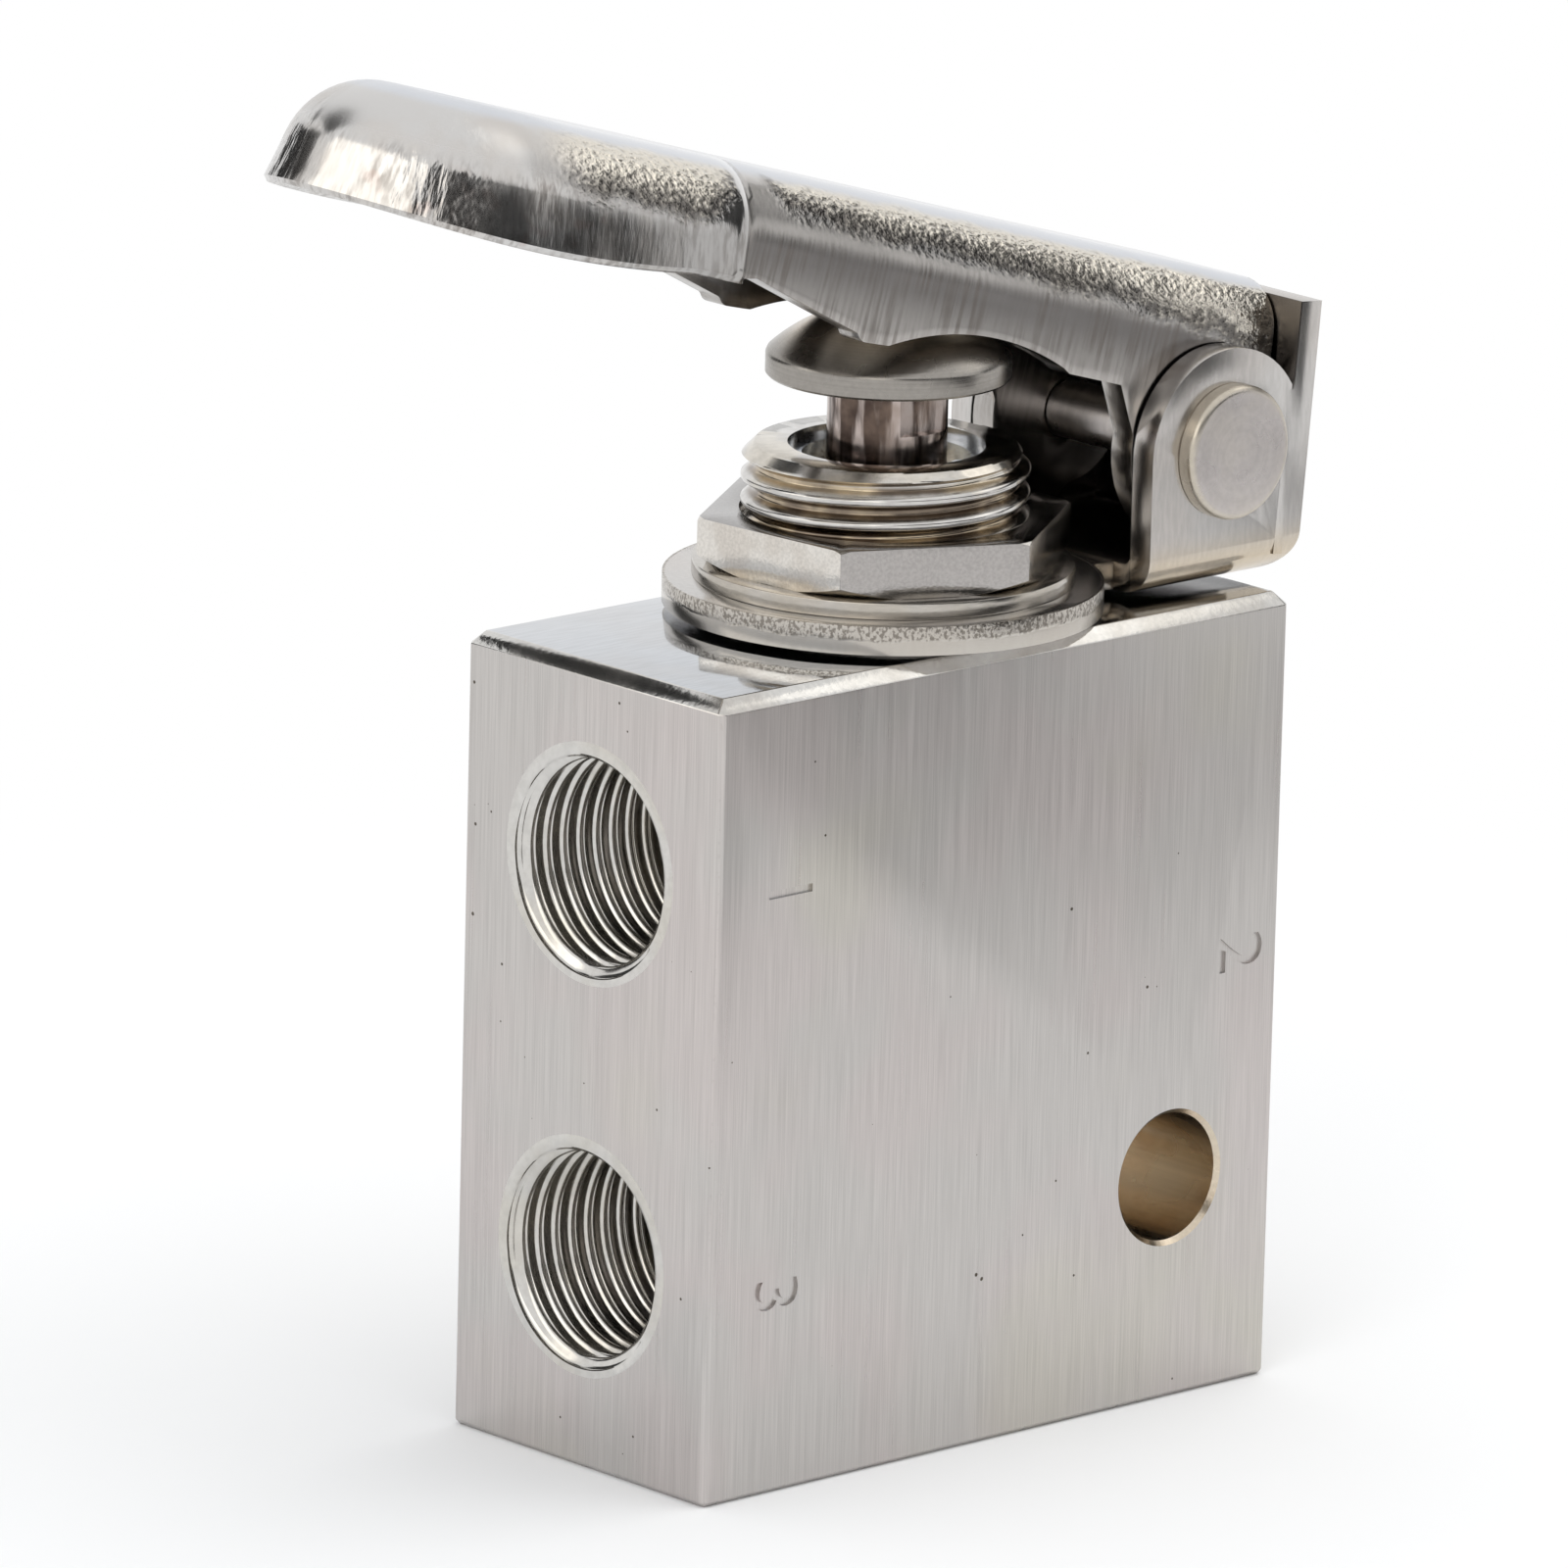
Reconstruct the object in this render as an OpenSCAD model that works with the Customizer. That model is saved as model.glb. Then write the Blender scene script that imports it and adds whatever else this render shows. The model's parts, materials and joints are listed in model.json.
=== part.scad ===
// Manual air control valve: a three-port spool valve worked by a hand lever.
// The origin is the centre of the body's bottom face, +Z runs up the plunger,
// and the lever's tip points towards -X. The wide front face looks along -Y.

/* [Body] */
// Width of the body along the lever
body_w = 32; // [30:0.5:36]
// Depth of the body across the lever
body_d = 15.6; // [15.2:0.2:20]
// Height of the body block
body_h = 34; // [33:0.5:40]
// Chamfer round the top face
top_chamfer = 0.55; // [0.2:0.05:0.8]
// Broken edge on the sides and the bottom
edge_break = 0.25; // [0.1:0.05:0.5]
// Diameter of the turned seat round the neck
boss_d = 14.4; // [13.6:0.1:14.4]
// Height of the turned seat
boss_h = 0.3; // [0.2:0.1:0.6]
// Diameter of the main bore that holds the cages
bore_d = 10; // [9:0.2:10.4]
// Diameter of the through hole for a mounting screw
side_hole_d = 5.5; // [4.5:0.1:5.8]
// Distance of the mounting hole from the plunger axis
side_hole_x = 10; // [9.5:0.1:11]
// Height of the mounting hole
side_hole_z = 9.65; // [8:0.1:10]

/* [Ports] */
// Wall diameter of a tapped 1/8 inch pipe port
port_d = 8.57; // [8.4:0.01:8.8]
// Diameter of the chamfer at a port's mouth
port_mouth_d = 10.2; // [9.8:0.1:11]
// Depth of a port's tapped hole
port_depth = 8; // [7:0.25:9]
// Diameter of the drilling from a port to the main bore
passage_d = 3.6; // [2.5:0.1:4.2]
// Height of the supply port
supply_z = 25.65; // [25.2:0.05:26]
// Height of the outlet port
outlet_z = 18.7; // [18.2:0.1:19.2]
// Height of the exhaust port
exhaust_z = 9; // [8.6:0.1:9.6]
// Height of the cage behind the supply port
supply_cage_h = 4.6; // [4.4:0.1:5]
// Height of the cage behind the outlet port
outlet_cage_h = 5; // [4.4:0.1:5.4]
// Height of the groove round a cage
cage_belt_h = 2.6; // [2:0.1:3]
// Diameter of a cage's windows
cage_window_d = 2; // [1.4:0.1:2.4]

/* [Neck] */
// Thread diameter of the neck
neck_d = 12; // [11.6:0.1:12.4]
// Height of the neck above the turned seat
neck_h = 6.8; // [6.6:0.1:7.4]
// Bore of the neck round the guide bush
neck_bore_d = 8.2; // [8:0.1:8.6]
// Bore under the guide bush, where the stem's collar moves
collar_bore_d = 6.8; // [6.6:0.1:7.4]
// Length of the guide bush
bush_h = 4.4; // [4.2:0.1:4.8]
// Thickness of the retaining ring in the neck
circlip_t = 0.7; // [0.5:0.1:0.8]
// Depth of the retaining ring below the neck's mouth
circlip_drop = 0.45; // [0.3:0.05:0.8]

/* [Bracket and nut] */
// Thickness of the bracket's sheet
bracket_t = 1.2; // [1:0.1:1.4]
// Diameter of the bracket's round plate
plate_d = 18.3; // [17:0.1:19]
// Thickness of the lock washer
washer_t = 0.7; // [0.5:0.1:0.9]
// Outer diameter of the lock washer
washer_d = 15.9; // [15:0.1:16.4]
// Width across the flats of the nut
nut_af = 14; // [13.5:0.1:15]
// Thickness of the nut
nut_t = 2.1; // [1.8:0.1:2.4]
// Angle at which the nut has come tight
nut_turn = 34.5; // [0:0.5:60]
// Lean of the bracket's back plate
back_lean = 5; // [0:0.5:8]
// Height of the back plate's top above the pivot
back_rise = 5.85; // [5:0.05:7]
// Distance from the pivot to the back plate's inner face
back_in = 3.5; // [3.4:0.05:3.8]
// Outer radius of the bend between base and back plate
back_bend_r = 1.9; // [1.6:0.1:2.6]
// Outer radius of the bends between base and ears
ear_bend_r = 1.6; // [1.4:0.1:2]

/* [Lever] */
// Distance of the pivot from the plunger axis
pivot_x = 13.7; // [13:0.1:14.4]
// Height of the pivot above the body's top face
pivot_rise = 6.05; // [5.95:0.05:6.6]
// Diameter of the pivot pin
pin_d = 2.5; // [2.2:0.1:2.8]
// Diameter of the pin's head
pin_head_d = 5.7; // [5:0.1:6.2]
// Thickness of the pin's head
pin_head_t = 0.8; // [0.6:0.1:1.1]
// Thickness of the lever's sheet
lever_t = 1.2; // [1:0.1:1.3]
// Width of the lever over its side walls
lever_w = 9.6; // [9.4:0.1:10.2]
// Width of the finger pad
pad_w = 13; // [12:0.1:14]
// Distance from the pivot to the centre of the pad's round end
pad_reach = 41.8; // [40:0.2:45]
// Outer radius of the bend round the pad's back
pad_bend_r = 3.6; // [3:0.1:4]
// Inward lean of the pad's side walls
pad_lean = 12; // [0:1:16]
// Depth to which the pad's walls hang below those of the narrow part
pad_sag = 0.5; // [0.2:0.05:0.8]
// Distance from the pivot to the end of the narrow part
neck_reach = 28.5; // [28:0.25:29.5]
// Height of the lever's back above the pivot
lever_rise = 7.13; // [6.9:0.05:7.4]
// Outer radius of the bend along the lever's back
lever_bend_r = 3; // [2.4:0.1:3.2]
// Slope of the lever at rest
lever_tilt = 16.4; // [15.8:0.1:17]
// Radius of the lobes round the pivot, and of the ears that carry it
lobe_r = 4.3; // [4.1:0.05:4.4]

/* [Plunger] */
// Diameter of the stem
stem_d = 5; // [4.6:0.1:5.2]
// Diameter of the button's rim
button_d = 10.2; // [9.4:0.1:10.6]
// Height of the button's cylindrical rim
button_rim = 0.97; // [0.8:0.01:1.3]
// Radius of the button's dome
dome_r = 7.4; // [6.8:0.1:9]
// Gap between the button and the neck at rest
button_gap = 2.9; // [2.8:0.05:3.2]
// Distance across the stem's flats
stem_af = 4.3; // [4:0.1:4.5]
// Diameter of the stop collar on the stem
collar_d = 6.4; // [6:0.1:6.5]
// Travel of the plunger
travel = 2.5; // [2.3:0.05:2.6]

/* [Spring] */
// Wire diameter of the return spring
wire_d = 0.6; // [0.5:0.05:0.7]
// Number of turns
spring_turns = 6; // [5:0.5:7]
// Mean diameter of the coil
coil_d = 4.8; // [4.6:0.05:5]

/* [Fits] */
// Radial clearance of parts that run in each other
run_gap = 0.06; // [0.03:0.01:0.1]
// Radial clearance of parts that are screwed or pushed together
seat_gap = 0.04; // [0.02:0.01:0.08]
// Side clearance between the lever and the bracket's ears
side_gap = 0.12; // [0.08:0.01:0.2]
// Clearance between the lever's rear end and the back plate
rear_gap = 0.25; // [0.2:0.05:0.35]
// Clearance between the lever's walls and the button's dome
press_gap = 0.15; // [0.1:0.01:0.2]

/* [Hidden] */
$fn = 96;
eps = 0.01;

// Levels of the body and the neck
boss_top = body_h + boss_h;
neck_top = boss_top + neck_h;
neck_lead = 0.6;

// The guide bush sits on a step in the neck, under its retaining ring
circlip_top = neck_top - circlip_drop;
circlip_bottom = circlip_top - circlip_t;
bush_top = circlip_bottom;
bush_bottom = bush_top - bush_h;
bush_bore_r = stem_d / 2 + run_gap;
bush_r = neck_bore_d / 2 - seat_gap;
circlip_groove = 0.4;
circlip_side_gap = 0.05;
circlip_w = 0.95;
circlip_eye_r = 0.62;
circlip_eye_hole_r = 0.25;

// Each small O-ring lies in a groove a little longer than its cord
small_cord = 1;
small_groove = 1.3;
bush_groove_inset = 1.2;
bush_outer_groove_z = bush_bottom + bush_groove_inset;
bush_inner_groove_z = bush_top - bush_groove_inset;
o_ring_gap = 0.03;

// The plug closes the bore from below and carries the spring
plug_thread_d = neck_d;
plug_flange_h = 4.4;
plug_top = 6.4;
plug_groove_z = 5.5;
plug_groove_depth = 1;
spring_seat_z = 1.8;
pin_hole_d = 1.5;
pin_hole_pitch = 6;
pin_hole_depth = 1.5;

// The cages and seals stand on the plug and end at a step in the bore
cage_r = bore_d / 2 - seat_gap;
cage_top = 31;
seal_room = 2.6;
cage_groove = 0.6;
cage_windows = 6;
cage_clear = 0.5;
cage_bore_r = stem_d / 2 + cage_clear;
seal_top_z = cage_top - seal_room / 2;
supply_cage_top = cage_top - seal_room;
supply_cage_bottom = supply_cage_top - supply_cage_h;
seal_supply_z = supply_cage_bottom - seal_room / 2;
outlet_cage_top = supply_cage_bottom - seal_room;
outlet_cage_bottom = outlet_cage_top - outlet_cage_h;
seal_exhaust_z = outlet_cage_bottom - seal_room / 2;
exhaust_cage_top = outlet_cage_bottom - seal_room;
exhaust_cage_bore_r = 3.7;

// Plunger levels at rest
button_bottom = neck_top + button_gap;
collar_gap = 0.1;
collar_top = bush_bottom - collar_gap;
collar_h = 1;
spool_top = collar_top - collar_h;
button_r = button_d / 2;
dome_centre_z = button_bottom + button_rim - sqrt(dome_r * dome_r - button_r * button_r);
dome_top = dome_centre_z + dome_r;
flat_h = 1.6;
flat_drop = 0.5;
flat_top = button_bottom - flat_drop;
spigot_d = 3;
spigot_h = 1.6;

// Spool levels at rest: a waist under each port's seal lets the air pass
spool_r = stem_d / 2;
waist_r = 1.6;
waist_flank = 0.6;
supply_waist_above = 1.1;
supply_waist_h = travel + 2.1;
outlet_waist_above = 1.6;
outlet_waist_h = 4.7;
spool_collar_h = 1.5;
spool_nose_h = 1.5;
spool_nose_gap = 0.2;
supply_waist_bottom = seal_supply_z + supply_waist_above;
supply_waist_top = supply_waist_bottom + supply_waist_h;
outlet_waist_top = seal_exhaust_z + outlet_waist_above;
outlet_waist_bottom = outlet_waist_top - outlet_waist_h;
spring_top = outlet_waist_bottom - spool_collar_h;
spool_bottom = spring_top - spool_nose_h;
spool_nose_r = coil_d / 2 - wire_d / 2 - spool_nose_gap;
spool_bevel = 0.25;

// Bracket levels
plate_bottom = boss_top;
plate_top = plate_bottom + bracket_t;
washer_top = plate_top + washer_t;
nut_top = washer_top + nut_t;
clear_r = neck_d / 2 + seat_gap;

// Pivot, ears and lever walls, from the lever's centre outwards
pivot_z = body_h + pivot_rise;
lever_half = lever_w / 2;
ear_inner = lever_half + side_gap;
ear_outer = ear_inner + bracket_t;
pin_hole_r = pin_d / 2 + seat_gap;
lobe_hole_r = pin_d / 2 + run_gap;
rear_r = back_in - rear_gap;
e_ring_t = 0.4;
e_ring_d = 4.6;
e_ring_groove_r = pin_d / 2 - 0.3;
pin_tail = 1.1;

// Lever outline in its own frame, with the origin at the pivot and the back level:
// the walls come down in a nose, then arch over the button's highest point
press_x = -pivot_x * cos(lever_tilt) - (dome_top - pivot_z) * sin(lever_tilt);
press_z = -pivot_x * sin(lever_tilt) + (dome_top - pivot_z) * cos(lever_tilt);
wall_low = 2.45;
wall_rise = 0.3;
nose_ahead = 0.5;
nose_drop = 1.65;
nose_r = 0.6;
arch_back = 1.7;
arch_drop = 0.36;
arch_r = 15;
arch_end_back = 1.2;
arch_end_drop = 1.15;
shoulder_ahead = 1.4;
nose_x = press_x - button_r - nose_ahead;
nose_low = press_z - nose_drop;
arch_x = press_x + arch_back;
arch_top = press_z - arch_drop;
arch_end_x = press_x + button_r + arch_end_back;
arch_end_z = press_z - arch_end_drop;
shoulder_x = -lobe_r - shoulder_ahead;
pad_shoulder = (pad_w - lever_w) / 2;
pad_r = pad_w / 2;

// The pad's walls are widest a little above their rim, which is tucked in
pad_widest = wall_low + 0.15;
pad_tuck = 32;
pad_rim_r = 71;
pad_rim_x = -pad_reach + 0.8;
pad_rim_start = -33;

// A plain disc on the plunger axis between two heights
module disc(r, bottom, top) {
    translate([0, 0, bottom]) cylinder(r = r, h = top - bottom);
}

// A ring on the plunger axis between two heights
module ring(outer, inner, bottom, top) {
    difference() {
        disc(outer, bottom, top);
        disc(inner, bottom - 1, top + 1);
    }
}

// A disc with the same chamfer on both rims
module bevelled_disc(r, bottom, top, bevel) {
    rotate_extrude()
        polygon([[0, bottom], [r - bevel, bottom], [r, bottom + bevel],
                 [r, top - bevel], [r - bevel, top], [0, top]]);
}

// A round cord lying in a circle between two round walls
module o_ring(inner, outer, z) {
    translate([0, 0, z])
        rotate_extrude()
            translate([(inner + outer) / 2, 0])
                circle(r = (outer - inner) / 2 - o_ring_gap, $fn = 32);
}

// A shape drawn in x and z, as thick as given across the lever
module across(thick) {
    rotate([90, 0, 0]) linear_extrude(height = thick, center = true) children();
}

// A shape drawn in y and z, drawn out along x
module along(start, end) {
    translate([start, 0, 0]) rotate([90, 0, 90]) linear_extrude(height = end - start) children();
}

// The block before its holes: every edge is broken, the top ones more
module block() {
    intersection() {
        linear_extrude(height = body_h) bevelled_rect(body_w, body_d, edge_break);
        across(body_d + 1) upright_outline(body_w);
        along(-body_w, body_w) upright_outline(body_d);
    }
}

module bevelled_rect(w, d, bevel) {
    polygon([[-w / 2 + bevel, -d / 2], [w / 2 - bevel, -d / 2], [w / 2, -d / 2 + bevel],
             [w / 2, d / 2 - bevel], [w / 2 - bevel, d / 2], [-w / 2 + bevel, d / 2],
             [-w / 2, d / 2 - bevel], [-w / 2, -d / 2 + bevel]]);
}

module upright_outline(w) {
    polygon([[-w / 2 + edge_break, 0], [w / 2 - edge_break, 0], [w / 2, edge_break],
             [w / 2, body_h - top_chamfer], [w / 2 - top_chamfer, body_h],
             [-w / 2 + top_chamfer, body_h], [-w / 2, body_h - top_chamfer],
             [-w / 2, edge_break]]);
}

// A tapped port: mouth chamfer, tapped wall, drill point and drilling to the bore
module port(side, z) {
    wall_r = port_d / 2;
    mouth_r = port_mouth_d / 2;
    drill_r = passage_d / 2;
    drill_point = (wall_r - drill_r) * tan(31);
    translate([side * body_w / 2, 0, z]) rotate([0, -90 * side, 0])
        rotate_extrude()
            polygon([[0, -1], [mouth_r + 1, -1], [wall_r, mouth_r - wall_r],
                     [wall_r, port_depth], [drill_r, port_depth + drill_point],
                     [drill_r, body_w / 2], [0, body_w / 2]]);
}

module mounting_hole() {
    lead = 0.2;
    r = side_hole_d / 2;
    half = body_d / 2;
    translate([side_hole_x, 0, side_hole_z]) rotate([90, 0, 0])
        rotate_extrude()
            polygon([[0, -half - 1], [r + lead + 1, -half - 1], [r, -half + lead],
                     [r, half - lead], [r + lead + 1, half + 1], [0, half + 1]]);
}

module body_block() {
    color("lightgray")
    difference() {
        union() {
            block();
            disc(boss_d / 2, body_h - 1, boss_top);
            rotate_extrude()
                polygon([[0, body_h - 1], [neck_d / 2, body_h - 1],
                         [neck_d / 2, neck_top - neck_lead],
                         [neck_d / 2 - neck_lead, neck_top], [0, neck_top]]);
        }
        disc(plug_thread_d / 2, -1, plug_flange_h);
        disc(bore_d / 2, 0, cage_top);
        disc(collar_bore_d / 2, cage_top - eps, bush_bottom + eps);
        disc(neck_bore_d / 2, bush_bottom, neck_top + 1);
        disc(neck_bore_d / 2 + circlip_groove,
             circlip_bottom - circlip_side_gap, circlip_top + circlip_side_gap);
        port(-1, supply_z);
        port(-1, exhaust_z);
        port(1, outlet_z);
        mounting_hole();
    }
}

module guide_bush() {
    color("darkgoldenrod")
    difference() {
        bevelled_disc(bush_r, bush_bottom, bush_top, 0.2);
        disc(bush_bore_r, bush_bottom - 1, bush_top + 1);
        ring(bush_r + 1, neck_bore_d / 2 - small_cord,
             bush_outer_groove_z - small_groove / 2, bush_outer_groove_z + small_groove / 2);
        disc(spool_r + small_cord,
             bush_inner_groove_z - small_groove / 2, bush_inner_groove_z + small_groove / 2);
    }
}

module guide_o_ring() {
    color("dimgray") o_ring(neck_bore_d / 2 - small_cord, neck_bore_d / 2, bush_outer_groove_z);
}

module stem_o_ring() {
    color("dimgray") o_ring(spool_r, spool_r + small_cord, bush_inner_groove_z);
}

// An open ring with two eyes for the pliers
module neck_circlip() {
    outer = neck_bore_d / 2 + circlip_groove - seat_gap;
    inner = outer - circlip_w;
    eye_side = 0.8 * circlip_eye_r;
    eye_turn = 17;
    color("gainsboro")
    translate([0, 0, circlip_bottom])
    rotate([0, 0, -90])
    linear_extrude(height = circlip_t)
    difference() {
        union() {
            difference() {
                circle(r = outer);
                circle(r = inner);
                polygon([[0, 0], [outer * 2, -outer * 2 * tan(eye_turn)],
                         [outer * 2, outer * 2 * tan(eye_turn)]]);
            }
            for (side = [-1, 1])
                rotate(side * eye_turn) translate([inner, side * eye_side]) circle(r = circlip_eye_r);
        }
        for (side = [-1, 1])
            rotate(side * eye_turn) translate([inner, side * eye_side]) circle(r = circlip_eye_hole_r);
    }
}

// A spacer cage: a belt of windows round a groove joins its port to the spool
module cage(bottom, top, inner, belt_z) {
    difference() {
        ring(cage_r, inner, bottom, top);
        ring(cage_r + 1, cage_r - cage_groove, belt_z - cage_belt_h / 2, belt_z + cage_belt_h / 2);
        for (turn = [0 : cage_windows - 1])
            translate([0, 0, belt_z]) rotate([0, 90, turn * 360 / cage_windows])
                cylinder(r = cage_window_d / 2, h = cage_r + 1);
    }
}

module supply_cage() {
    color("khaki") cage(supply_cage_bottom, supply_cage_top, cage_bore_r, supply_z);
}

module outlet_cage() {
    color("khaki") cage(outlet_cage_bottom, outlet_cage_top, cage_bore_r, outlet_z);
}

module exhaust_cage() {
    color("khaki") cage(plug_top, exhaust_cage_top, exhaust_cage_bore_r, exhaust_z);
}

module seal_top() {
    color("dimgray") o_ring(spool_r, bore_d / 2, seal_top_z);
}

module seal_supply() {
    color("dimgray") o_ring(spool_r, bore_d / 2, seal_supply_z);
}

module seal_exhaust() {
    color("dimgray") o_ring(spool_r, bore_d / 2, seal_exhaust_z);
}

module bottom_plug() {
    color("silver")
    difference() {
        union() {
            bevelled_disc(plug_thread_d / 2 - seat_gap, 0, plug_flange_h, 0.3);
            disc(cage_r, plug_flange_h - 1, plug_top);
        }
        disc(coil_d / 2 + wire_d / 2 + 0.25, spring_seat_z, plug_top + 1);
        ring(cage_r + 1, bore_d / 2 - plug_groove_depth,
             plug_groove_z - small_groove / 2, plug_groove_z + small_groove / 2);
        for (side = [-1, 1])
            translate([side * pin_hole_pitch / 2, 0, -1])
                cylinder(r = pin_hole_d / 2, h = pin_hole_depth + 1);
    }
}

module plug_o_ring() {
    color("dimgray") o_ring(bore_d / 2 - plug_groove_depth, bore_d / 2, plug_groove_z);
}

// The return spring: a round wire swept along a helix
function helix_point(t, low, rise) =
    [coil_d / 2 * cos(360 * spring_turns * t), coil_d / 2 * sin(360 * spring_turns * t), low + rise * t];

function helix_ring(t, low, rise, sides) =
    let (turn = 360 * spring_turns * t)
    [for (k = [0 : sides - 1])
        helix_point(t, low, rise)
        + wire_d / 2 * (cos(360 * k / sides) * [cos(turn), sin(turn), 0]
                        + sin(360 * k / sides) * [0, 0, 1])];

module return_spring() {
    sides = 8;
    rings = round(spring_turns * 18);
    low = spring_seat_z + wire_d / 2 + eps;
    rise = spring_top - wire_d / 2 - eps - low;
    points = [for (j = [0 : rings]) each helix_ring(j / rings, low, rise, sides)];
    walls = [for (j = [0 : rings - 1]) for (k = [0 : sides - 1])
        [j * sides + k, (j + 1) * sides + k,
         (j + 1) * sides + (k + 1) % sides, j * sides + (k + 1) % sides]];
    first = [for (k = [0 : sides - 1]) k];
    last = [for (k = [sides - 1 : -1 : 0]) rings * sides + k];
    color("slategray") polyhedron(points, concat(walls, [first], [last]));
}

// Outline of the base and the two ears, as a channel with round lower corners
module channel(half, low, high, r) {
    translate([-half, low + r]) square([2 * half, high - low - r]);
    translate([-(half - r), low]) square([2 * (half - r), high - low]);
    for (side = [-1, 1])
        translate([side * (half - r), low + r]) circle(r = r);
}

// The side view of an ear: straight sides up to the round top over the pivot
module ear_outline() {
    foot = pivot_z - plate_bottom + 1;
    intersection() {
        union() {
            translate([pivot_x, pivot_z]) circle(r = lobe_r);
            translate([pivot_x - lobe_r, pivot_z - foot]) square([2 * lobe_r, foot]);
        }
        ear_rear_limit();
    }
}

// Everything in front of the back plate's inner face
module ear_rear_limit() {
    seam = 0.08;
    reach = 20;
    translate([pivot_x, pivot_z]) rotate(-back_lean)
        translate([back_in - seam - 2 * reach, -reach]) square([2 * reach, 2 * reach]);
}

// A round bend of sheet, swept clockwise through less than half a turn
module sheet_bend(outer, thick, start, end) {
    far = 4 * outer;
    middle = (start + end) / 2;
    intersection() {
        difference() {
            circle(r = outer);
            circle(r = outer - thick);
        }
        polygon([[0, 0], far * [cos(start), sin(start)], far * [cos(middle), sin(middle)],
                 far * [cos(end), sin(end)]]);
    }
}

// The side view of the back plate: level base, bend and leaning plate
module back_outline() {
    inner_r = back_bend_r - bracket_t;
    bend_z = plate_bottom + back_bend_r;
    drop = pivot_z - bend_z;
    bend_x = pivot_x + (back_in - inner_r - drop * sin(back_lean)) / cos(back_lean);
    translate([pivot_x - lobe_r, plate_bottom]) square([bend_x - pivot_x + lobe_r, bracket_t]);
    translate([bend_x, bend_z]) {
        sheet_bend(back_bend_r, bracket_t, -90, -back_lean);
        rotate(-back_lean) translate([inner_r, -eps])
            square([bracket_t, (drop + back_rise) / cos(back_lean)]);
    }
}

module lever_bracket() {
    base_start = 2;
    reach = pivot_x + back_in + 4;
    color("lightgray")
    difference() {
        union() {
            disc(plate_d / 2, plate_bottom, plate_top);
            intersection() {
                along(base_start, reach)
                    difference() {
                        channel(ear_outer, plate_bottom, pivot_z + 10, ear_bend_r);
                        channel(ear_inner, plate_top, pivot_z + 11, ear_bend_r - bracket_t);
                    }
                across(3 * ear_outer) ear_outline();
            }
            intersection() {
                across(2 * ear_outer) back_outline();
                along(base_start, reach) channel(ear_outer, plate_bottom, pivot_z + 10, ear_bend_r);
            }
            translate([base_start, -ear_inner + 1, plate_bottom])
                cube([pivot_x - base_start, 2 * ear_inner - 2, bracket_t]);
        }
        disc(clear_r, plate_bottom - 1, plate_top + 1);
        translate([pivot_x, 0, pivot_z]) rotate([90, 0, 0])
            cylinder(r = pin_hole_r, h = 4 * ear_outer, center = true);
    }
}

// A lock washer whose inner teeth grip the thread
module lock_washer() {
    teeth = 12;
    tooth_depth = 0.9;
    slot_w = 1;
    color("darkgray")
    difference() {
        ring(washer_d / 2, clear_r, plate_top, washer_top);
        for (turn = [0 : teeth - 1])
            rotate([0, 0, turn * 360 / teeth])
                translate([0, -slot_w / 2, plate_top - 1])
                    cube([clear_r + tooth_depth, slot_w, washer_t + 2]);
    }
}

module panel_nut() {
    corner_r = nut_af / 2 / cos(30);
    bevel = (corner_r - nut_af / 2) * 0.9;
    rise = bevel * tan(30);
    color("whitesmoke")
    difference() {
        intersection() {
            translate([0, 0, washer_top]) rotate([0, 0, nut_turn])
                cylinder(r = corner_r, h = nut_t, $fn = 6);
            rotate_extrude()
                polygon([[0, washer_top], [corner_r - bevel, washer_top],
                         [corner_r, washer_top + rise], [corner_r, nut_top - rise],
                         [corner_r - bevel, nut_top], [0, nut_top]]);
        }
        disc(clear_r, washer_top - 1, nut_top + 1);
    }
}

// The headed pin turns in neither ear and carries the lever's lobes
module pivot_pin() {
    head_bevel = 0.2;
    tail_bevel = 0.25;
    head_z = ear_outer + pin_head_t;
    tail_z = -ear_outer - pin_tail;
    groove_z = -ear_outer;
    color("lightgray")
    translate([pivot_x, 0, pivot_z]) rotate([90, 0, 0]) rotate_extrude()
        polygon([[0, tail_z], [pin_d / 2 - tail_bevel, tail_z], [pin_d / 2, tail_z + tail_bevel],
                 [pin_d / 2, groove_z - e_ring_t - 2 * circlip_side_gap],
                 [e_ring_groove_r, groove_z - e_ring_t - 2 * circlip_side_gap],
                 [e_ring_groove_r, groove_z], [pin_d / 2, groove_z], [pin_d / 2, ear_outer],
                 [pin_head_d / 2, ear_outer], [pin_head_d / 2, head_z - head_bevel],
                 [pin_head_d / 2 - head_bevel, head_z], [0, head_z]]);
}

// The clip on the pin's tail, open on one side
module pin_e_ring() {
    mouth = 2 * e_ring_groove_r - 0.25;
    pocket_r = 0.45;
    pocket_reach = e_ring_groove_r + 0.3;
    color("dimgray")
    translate([pivot_x, ear_outer + circlip_side_gap, pivot_z]) rotate([-90, 90, 0])
        linear_extrude(height = e_ring_t)
            difference() {
                circle(r = e_ring_d / 2);
                circle(r = e_ring_groove_r + 0.03);
                translate([0, -mouth / 2]) square([e_ring_d, mouth]);
                for (turn = [105, 255])
                    rotate(turn) translate([pocket_reach, 0]) circle(r = pocket_r);
            }
}

// Section of the pressed lever: a channel open below, with round shoulders
module lever_section(half, top, r) {
    low = -lobe_r - 1;
    translate([-half, low]) square([2 * half, top - r - low]);
    translate([-(half - r), low]) square([2 * (half - r), top - low]);
    for (side = [-1, 1])
        translate([side * (half - r), top - r]) circle(r = r);
}

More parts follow.
